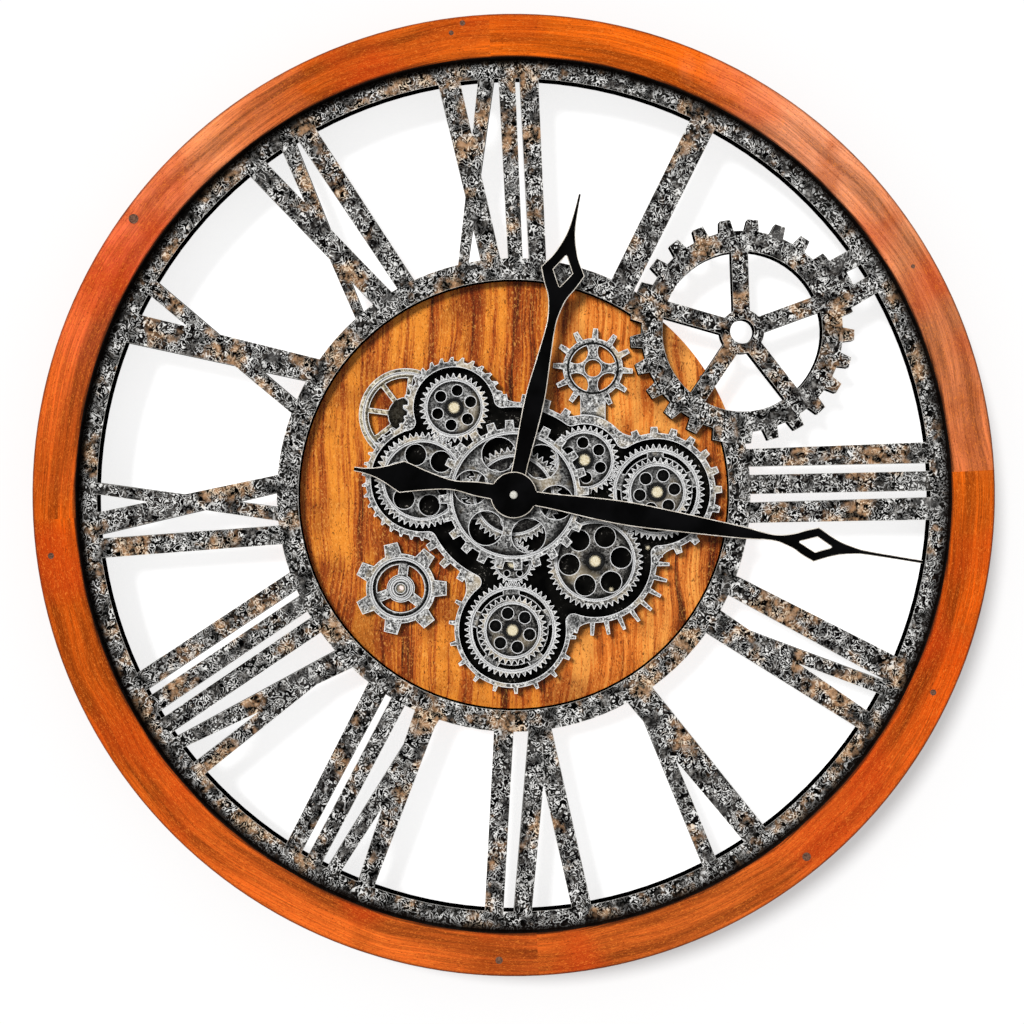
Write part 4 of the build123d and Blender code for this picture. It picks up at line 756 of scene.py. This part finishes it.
@dataclass
class GearTrain:
    """Tray, cogged surround, gears, cogs and pins.

    Each wheel has a tone, its middle, how far it reaches and its rings of wash, painted shade and painted
    highlight.
    """
    # Dark stops are wash and painted shade in the turned rings, and white stops are painted highlight
    drilled: Stops = (
        (0.16, "#1A1A1A"), (0.26, "#8A8A8A"), (0.45, "#F0F0F0"), (0.62, "#C0C0C0"), (0.72, "#4A4A4A"),
        (0.8, "#101010"), (0.83, "#FFFFFF"))
    slotted: Stops = (
        (0.6, "#202020"), (0.72, "#6A6A6A"), (0.76, "#FFFFFF"), (0.84, "#8A8A8A"), (0.87, "#1A1A1A"),
        (0.89, "#FFFFFF"))
    stacked: Stops = (
        (0.2, "#303030"), (0.34, "#B0B0B0"), (0.6, "#A0A0A0"), (0.74, "#303030"), (0.8, "#0C0C0C"),
        (0.83, "#FFFFFF"))
    cogged: Stops = (
        (0.3, "#5A5A5A"), (0.42, "#E8E8E8"), (0.66, "#D0D0D0"), (0.76, "#6A6A6A"), (0.8, "#080808"),
        (0.835, "#0A0A0A"), (0.85, "#FFFFFF"))
    spoked: Stops = (
        (0.24, "#4A4A4A"), (0.37, "#1E1E1E"), (0.42, "#F4F4F4"), (0.78, "#FFFFFF"), (0.83, "#4A4A4A"),
        (0.87, "#FFFFFF"))
    banded: Stops = (
        (0.24, "#9A9A9A"), (0.3, "#FFFFFF"), (0.59, "#FFFFFF"), (0.61, "#0C0C0C"), (0.645, "#0C0C0C"),
        (0.665, "#FFFFFF"))
    cornered: Stops = (
        (0.14, "#6A6A6A"), (0.2, "#FFFFFF"), (0.27, "#242424"), (0.31, "#FFFFFF"), (0.52, "#F0F0F0"),
        (0.57, "#101010"), (0.63, "#101010"), (0.66, "#FFFFFF"))
    wheels: tuple[tuple[str, Tone, tuple[float, float], float, Stops], ...] = (
        ("upper_left_gear", Tone.BRIGHT, (-37.1, 54.4), 21.6, drilled),
        ("left_gear", Tone.BRIGHT, (-56.8, 9.3), 30.0, drilled),
        ("upper_right_gear", Tone.BRIGHT, (44.1, 21.8), 21.6, drilled),
        ("lower_right_gear", Tone.GREY, (50.7, -41.2), 30.0, drilled),
        ("idler_gear", Tone.GREY, (-0.4, -42.0), 14.4, drilled),
        ("right_gear", Tone.BRIGHT, (89.1, 1.8), 30.0, slotted),
        ("bottom_gear", Tone.BRIGHT, (-0.7, -84.0), 30.0, slotted),
        ("right_top_gear", Tone.BRIGHT, (89.1, 1.8), 21.6, stacked),
        ("bottom_top_gear", Tone.GREY, (-0.7, -84.0), 21.6, stacked),
        ("centre_gear", Tone.GREY, (0.0, 0.0), 30.0, drilled),
        ("centre_cog_wheel", Tone.BRIGHT, (0.0, 0.0), 46.5, cogged),
        ("flywheel", Tone.CREAM, (-67.5, 50.0), 29.3, spoked),
        ("corner_cog", Tone.BRIGHT, (-70.6, -58.4), 28.6, cornered),
    )
    # The rings of the surround lie round the small cog on its tab
    surround: BlackWashedSilver = BlackWashedSilver(
        "black-washed silver surround", Tone.BRIGHT, (49.5, 79.2), 24.9, banded)
    # The pale cream on top of the turned heads is a painted highlight, and painted shade darkens them round
    # the edge
    lit_shaded_pin_brass: PlainFinish = PlainFinish("turned brass painted lit and shaded", "#D9C79A", "#FFF6DC", 0.15, 0.35, 0.9,
                                         outline=1.5)
    # Chemical blacking leaves steel with only a faint grey sheen
    washer_steel: PlainFinish = PlainFinish("blackened washer steel", "#0E0E0E", "#2A2A2B", 0.5, 0.5, 0.9)

    def build(self) -> None:
        """Dresses the train."""
        for name, tone, middle, reach, rings in self.wheels:
            silver = BlackWashedSilver("black-washed silver " + name, tone, middle, reach, rings)
            dress(silver.material(), name)
        dress(self.surround.material(), "cog_bezel")
        dress(SpeckledBlack().material(), "gear_tray")
        dress(self.lit_shaded_pin_brass.material(), "gear_pins", "corner_cog_rivet", "bottom_gear_arbor",
              "gear_tray_screws")
        dress(self.washer_steel.material(), "gear_pin_washers", "bottom_gear_washer")


@dataclass
class Works:
    """Quartz movement, geared motor, cells and hanging plate, seen from behind."""
    finishes: tuple[tuple[PlainFinish, tuple[str, ...]], ...] = (
        # Spark-eroded moulds leave the cases a fine, dull grain
        (PlainFinish("moulded black styrene", "#151516", "#1E1E20", 0.0, 0.42, 0.7),
         ("movement_case", "drive_case", "drive_switch_body")),
        (PlainFinish("moulded grey styrene", "#2C2D2F", "#37383B", 0.0, 0.45, 0.7),
         ("movement_cover", "drive_cover")),
        # Barrel plating gives small parts a bright, faintly uneven shine
        (PlainFinish("nickel plated steel", "#A7A8A9", "#CBCCCD", 1.0, 0.3, 0.6),
         ("hanger_plate", "hanger_screws", "minute_wheel_pin", "battery_contacts", "drive_motor",
          "minute_shaft", "bush_nut")),
        # A cutting tool leaves brass warm and bright, with fine rings
        (PlainFinish("turned brass", "#B08A3C", "#D4AE5E", 1.0, 0.3, 0.4), ("movement_bush", "motor_pinion")),
        # Buffed pewter is pale, with soft spots where it is worn
        (PlainFinish("polished pewter", "#C9C6BC", "#FFFCF2", 0.3, 0.35, 0.7), ("hand_cap_nut",)),
        # Unfilled acetal is milky white and slightly waxy
        (PlainFinish("natural acetal", "#DAD8CF", "#ECEAE2", 0.0, 0.4, 0.9),
         ("hour_tube", "minute_wheel", "set_knob", "drive_wheel", "drive_switch_slider")),
        # Moulded rubber takes no shine
        (PlainFinish("moulded rubber", "#121212", "#1A1A1A", 0.0, 0.7, 0.6), ("movement_gasket",)),
        # The turns of the winding show as fine reddish lines across the coil
        (PlainFinish("enamelled copper wire", "#7D3A17", "#B9622B", 0.6, 0.35, 0.35, (5.0, 1.0, 1.0)),
         ("movement_coil",)),
        # The weave of the laminate darkens the green mask here and there
        (PlainFinish("solder-masked laminate", "#1E5B32", "#2A7442", 0.0, 0.35, 1.4), ("circuit_board",)),
    )

    def build(self) -> None:
        """Dresses the works."""
        for finish, names in self.finishes:
            dress(finish.material(), *names)
        dress(BatterySleeve().material(), "movement_battery", "drive_battery")


@dataclass
class Hand:
    """One ridged spade hand with a diamond window, with a painted highlight along its bare cut edge."""
    node: str
    body: str
    clock_angle: float
    back: float
    length: float
    half_width: float
    hub_radius: float
    bore_radius: float
    runs: tuple[Points, ...]
    window: Points
    tail_length: float = 0.0
    tail_half_width: float = 0.0
    tail_runs: tuple[Points, ...] = ()
    thickness: float = 1.0
    edge_thickness: float = 0.45
    edge_width: float = 0.5
    edge_share: float = 0.3
    window_share: float = 0.9
    chamfer: float = 0.12
    hub_chamfer: float = 0.25

    def build(self) -> None:
        """Builds the hand in place of its plain solid."""
        mesh = bmesh.new()
        self.add_blade(mesh, self.runs, self.length, self.half_width, 1.0, self.window)
        if self.tail_runs:
            self.add_blade(mesh, self.tail_runs, self.tail_length, self.tail_half_width, -1.0, ())
        self.add_hub(mesh)
        data = bpy.data.meshes.new(self.node + "_ridged")
        mesh.to_mesh(data)
        mesh.free()
        piece = new_object(self.node + "_ridged", data)
        data.materials.append(SatinBlackAluminium("satin black " + self.node).material())
        # The paint is worn off the cut edge, and the thin bright line there is a painted highlight
        bare = PlainFinish("bare edge with painted highlight " + self.node, "#C9BFB0", "#FFF8EC", 0.1, 0.5, 5.0)
        data.materials.append(bare.material())
        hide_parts(self.node)
        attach(piece, self.body)
        LOG.info("%s: ridged blade, %d faces", self.node, len(data.polygons))

    def to_clock(self, x: float, y: float, depth: float) -> Vector:
        """Turns a point along the hand to the clock's frame in metres.

        Args:
            x: distance from the axis along the hand.
            y: distance to the side.
            depth: height in front of the wall.
        Returns:
            The point in metres.
        """
        turn = math.radians(90.0 - self.clock_angle)
        across = x * math.cos(turn) - y * math.sin(turn)
        up = x * math.sin(turn) + y * math.cos(turn)
        return Vector((across * MM, (WALL_Y - depth) * MM, up * MM))

    @staticmethod
    def through(points: Points, steps: int = 10) -> list[tuple[float, float]]:
        """Points on a smooth curve through a run of points.

        Args:
            points: the run.
            steps: pieces between each two points.
        Returns:
            The curve's points, first and last of the run among them.
        """
        path = [Vector(p) for p in points]
        before = [path[0] * 2 - path[1]] + path + [path[-1] * 2 - path[-2]]
        curve = []
        for i in range(1, len(before) - 2):
            a, b, c, d = before[i - 1:i + 3]
            for k in range(steps):
                t = k / steps
                curve.append(0.5 * (2 * b + (c - a) * t + (2 * a - 5 * b + 4 * c - d) * t * t
                                    + (3 * b - a - 3 * c + d) * t ** 3))
        curve.append(path[-1])
        return [(p.x, p.y) for p in curve]

    def opening(self, share: float, window: Points) -> float:
        """Half width of the diamond window.

        Args:
            share: share of the blade's length.
            window: near end, widest place and far end of the diamond.
        Returns:
            The half width, 0 outside the diamond.
        """
        if not window or not window[0][0] < share < window[2][0]:
            return 0.0
        near, side, far = window
        end = near if share < side[0] else far
        return self.half_width * side[1] * (share - end[0]) / (side[0] - end[0])

    def add_blade(self, mesh: bmesh.types.BMesh, runs: tuple[Points, ...], length: float, half_width: float,
                  way: float, window: Points) -> None:
        """Adds both slopes, the cut edges and the back of a blade.

        Args:
            mesh: the hand's mesh.
            runs: outline, as shares of the length and of the half width.
            length: reach from the axis.
            half_width: widest half.
            way: 1 along the hand, -1 for its tail.
            window: the diamond, in the same shares.
        """
        outline: list[tuple[float, float]] = []
        for run in runs:
            outline += self.through(run)
        marks = [p[0] for p in outline] + [p[0] for p in window]
        stations = sorted({round(m, 5) for m in marks})
        for side in (-1.0, 1.0):
            rows = []
            for share in stations:
                reach = self.width_at(outline, share) * half_width
                inner = min(self.opening(share, window), reach * self.window_share)
                rows.append(self.station(mesh, share * length * way, inner, reach, side, inner > 0))
            for one, two in zip(rows, rows[1:]):
                for k in range(len(one) - 1):
                    corners = [one[k], one[k + 1], two[k + 1], two[k]]
                    if len({v.co.to_tuple(7) for v in corners}) < 3:
                        continue
                    face = mesh.faces.new(corners if side * way > 0 else corners[::-1])
                    face.material_index = 1 if k in (1, 3) else 0
        bmesh.ops.remove_doubles(mesh, verts=mesh.verts[:], dist=WELD)

    @staticmethod
    def width_at(outline: list[tuple[float, float]], share: float) -> float:
        """Width of an outline at one place.

        Args:
            outline: points along the blade, as shares of its length and half width.
            share: the place, as a share of the length.
        Returns:
            Share of the half width.
        """
        for one, two in zip(outline, outline[1:]):
            if one[0] <= share <= two[0] and two[0] > one[0]:
                return one[1] + (two[1] - one[1]) * (share - one[0]) / (two[0] - one[0])
        return outline[0][1] if share <= outline[0][0] else outline[-1][1]

    def station(self, mesh: bmesh.types.BMesh, x: float, inner: float, outer: float, side: float,
                open_here: bool) -> list[bmesh.types.BMVert]:
        """Points across one side of the blade, from the ridge or the window to the back.

        Args:
            mesh: the hand's mesh.
            x: distance along the hand.
            inner: where the slope starts.
            outer: where the slope ends.
            side: 1 or -1 across the blade.
            open_here: whether the slope starts at the window.
        Returns:
            The points in order.
        """
        fall = self.thickness - self.edge_thickness
        high = self.thickness - fall * inner / outer
        step = min(self.edge_width, (outer - inner) * self.edge_share)
        first = step if open_here else 0.0
        start = high - self.chamfer if open_here else high
        line = [(inner, 0.0), (inner, start), (inner + first, high - fall * first / outer),
                (outer - step, self.edge_thickness + fall * step / outer),
                (outer, self.edge_thickness - self.chamfer), (outer, 0.0), (inner, 0.0)]
        return [mesh.verts.new(self.to_clock(x, y * side, self.back + z)) for y, z in line]

    def add_hub(self, mesh: bmesh.types.BMesh, count: int = 72) -> None:
        """Adds the round eye over the blade's root.

        Args:
            mesh: the hand's mesh.
            count: points round the eye.
        """
        line = [(self.bore_radius, 0.0), (self.bore_radius, self.thickness),
                (self.hub_radius - self.edge_width, self.thickness),
                (self.hub_radius, self.thickness - self.hub_chamfer), (self.hub_radius, 0.0)]
        rows = []
        root = self.half_width * self.runs[0][0][1]
        for i in range(count):
            turn = 2 * math.pi * i / count
            rows.append([mesh.verts.new(self.to_clock(r * math.cos(turn), r * math.sin(turn), self.back + z))
                         for r, z in line])
        for i, (one, two) in enumerate(zip(rows, rows[1:] + rows[:1])):
            turn = 2 * math.pi * (i + 0.5) / count
            blade_here = math.cos(turn) > 0 or bool(self.tail_runs)
            joined = blade_here and abs(math.sin(turn)) * self.hub_radius < root
            for k in range(len(line)):
                n = (k + 1) % len(line)
                face = mesh.faces.new([one[k], one[n], two[n], two[k]])
                face.material_index = 1 if k == 2 and not joined else 0


@dataclass
class Hands:
    """The hour and minute hands, whose outlines follow the plain solids."""
    hour_back: float = 38.8
    minute_back: float = 41.6

    def build(self) -> None:
        """Builds both hands."""
        Hand(node="hour_hand", body="hour_hand", clock_angle=12.4, back=self.hour_back, length=190.0,
             half_width=13.8, hub_radius=9.5, bore_radius=2.5,
             runs=(((0.0, 0.38), (0.1, 0.34), (0.235, 0.43), (0.336, 0.44), (0.45, 0.32), (0.552, 0.22),
                    (0.6, 0.25), (0.655, 0.42), (0.70, 0.74), (0.743, 1.0)),
                   ((0.743, 1.0), (0.8, 0.52), (0.87, 0.2), (0.94, 0.09), (1.0, 0.05))),
             window=((0.69, 0.0), (0.743, 0.44), (0.797, 0.0))).build()
        Hand(node="minute_hand", body="minute_hand", clock_angle=99.3, back=self.minute_back, length=254.6,
             half_width=10.75, hub_radius=14.3, bore_radius=1.5,
             runs=(((0.0, 0.42), (0.087, 0.44), (0.2, 0.62), (0.289, 0.68), (0.398, 0.57), (0.554, 0.36),
                    (0.634, 0.19), (0.68, 0.4), (0.711, 0.73), (0.74, 1.0)),
                   ((0.74, 1.0), (0.79, 0.46), (0.84, 0.18), (0.887, 0.11), (1.0, 0.09))),
             window=((0.698, 0.0), (0.74, 0.43), (0.779, 0.0)), tail_length=99.5, tail_half_width=9.95,
             tail_runs=(((0.0, 0.5), (0.22, 0.46), (0.38, 0.31), (0.53, 0.56), (0.7, 1.0)),
                        ((0.7, 1.0), (0.83, 0.42), (0.93, 0.18), (1.0, 0.13)))).build()


@dataclass
class Studio:
    """Plain white wall behind the clock, soft light and the camera.

    A lamp's way is where its light goes, its level is the brightness that it gives a white wall
    square to it, and its spread is the width of its disc in degrees.
    """
    focal_px: float = 1285.0
    axis_px: tuple[float, float] = (513.7, 495.0)
    image_px: float = 1024.0
    sensor_width: float = 36.0
    camera_distance: float = 800.0
    nearest_seen: float = 10.0
    plate_front: float = 32.0
    key_way: Size = (0.46, 1.0, -0.42)
    key_level: float = 0.9
    key_spread: float = 16.0
    back_way: Size = (0.2, -1.0, -0.4)
    back_level: float = 0.55
    back_spread: float = 40.0
    fill_level: float = 0.36
    wall_half: float = 3000.0
    wall_gap: float = 0.1
    wall_paint: str = "#C6C6C6"
    glow_radii: tuple[float, float] = (285.0, 300.0)
    glow_levels: tuple[float, float] = (0.8, 0.38)

    def build(self) -> None:
        """Builds the wall, the light and the camera."""
        self.wall()
        self.sun("key", self.key_way, self.key_level, self.key_spread)
        self.sun("back", self.back_way, self.back_level, self.back_spread)
        self.room()
        self.camera()

    def wall(self) -> None:
        """White painted wall, seen only from the clock's side, that lets the back light through.

        It glows a little for the camera, more behind the dial than beside the rim.
        """
        half, y = self.wall_half * MM, (WALL_Y + self.wall_gap) * MM
        corners = [(-half, y, -half), (half, y, -half), (half, y, half), (-half, y, half)]
        data = bpy.data.meshes.new("wall")
        data.from_pydata(corners, [], [(0, 1, 2, 3)])
        plane = new_object("wall", data)
        material, tree = new_material("matt white emulsion")
        path = add(tree, "LightPath").outputs
        direct = add(tree, "Math", {0: path["Is Camera Ray"], 1: path["Is Glossy Ray"]},
                     operation="MAXIMUM").outputs[0]
        seen = add(tree, "Math", {0: direct, 1: path["Is Transmission Ray"]}, operation="MAXIMUM").outputs[0]
        away = add(tree, "VectorMath", {0: place_mm(tree)}, operation="LENGTH").outputs["Value"]
        level = add(tree, "MapRange", {0: away, 1: self.glow_radii[0], 2: self.glow_radii[1],
                                       3: self.glow_levels[0], 4: self.glow_levels[1]}).outputs[0]
        glow = add(tree, "Math", {0: seen, 1: level}, operation="MULTIPLY").outputs[0]
        paint = add(tree, "BsdfDiffuse", {"Color": linear(self.wall_paint)}).outputs[0]
        lift = add(tree, "Emission", {"Color": linear("#FFFFFF"), "Strength": glow}).outputs[0]
        front = add(tree, "AddShader", {0: paint, 1: lift}).outputs[0]
        clear = add(tree, "BsdfTransparent").outputs[0]
        behind = add(tree, "NewGeometry").outputs["Backfacing"]
        open_share = add(tree, "Math", {0: behind, 1: path["Is Shadow Ray"]}, operation="MAXIMUM").outputs[0]
        both = add(tree, "MixShader", {0: open_share, 1: front, 2: clear}).outputs[0]
        add(tree, "OutputMaterial", {"Surface": both})
        data.materials.append(material)

    @staticmethod
    def sun(name: str, way: Size, level: float, spread: float) -> None:
        """Hangs a distant lamp that no shiny piece mirrors.

        Args:
            name: the lamp's name.
            way: where its light goes.
            level: brightness that it gives a white wall square to it.
            spread: width of its disc in degrees.
        """
        data = bpy.data.lights.new(name, "SUN")
        data.energy = level * math.pi
        data.angle = math.radians(spread)
        lamp = new_object(name, data)
        lamp.rotation_mode = "QUATERNION"
        lamp.rotation_quaternion = Vector(way).to_track_quat("-Z", "Y")
        lamp.location = -Vector(way)
        lamp.visible_glossy = False

    def room(self) -> None:
        """White room that fills the shadows evenly and is plain white to the camera."""
        world = bpy.data.worlds.new("white room")
        bpy.context.scene.world = world
        world.use_nodes = True
        tree = world.node_tree
        tree.nodes.clear()
        path = add(tree, "LightPath").outputs["Is Camera Ray"]
        level = add(tree, "MapRange", {0: path, 3: self.fill_level}).outputs[0]
        room = add(tree, "Background", {"Color": linear("#FFFFFF"), "Strength": level}).outputs[0]
        add(tree, "OutputWorld", {"Surface": room})

    def camera(self) -> None:
        """Camera square to the dial, on the hands' axis, framed as the photograph is."""
        data = bpy.data.cameras.new("camera")
        data.sensor_width = self.sensor_width
        data.lens = self.focal_px / self.image_px * self.sensor_width
        data.shift_x = -(self.axis_px[0] - self.image_px / 2) / self.image_px
        data.shift_y = (self.axis_px[1] - self.image_px / 2) / self.image_px
        data.clip_start = self.nearest_seen * MM
        camera = new_object("camera", data)
        camera.location = (0.0, (WALL_Y - self.plate_front - self.camera_distance) * MM, 0.0)
        camera.rotation_euler = (math.pi / 2, 0.0, 0.0)
        bpy.context.scene.camera = camera


def main() -> None:
    """Builds the clock's dress, the room and the camera."""
    logging.basicConfig(level=logging.INFO, format="%(message)s")
    bpy.context.scene.view_settings.view_transform = "Standard"
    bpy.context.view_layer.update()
    for part in (Studio(), Rim(), Dial(), GearTrain(), Works(), Hands()):
        part.build()


if __name__ == "__main__":
    main()
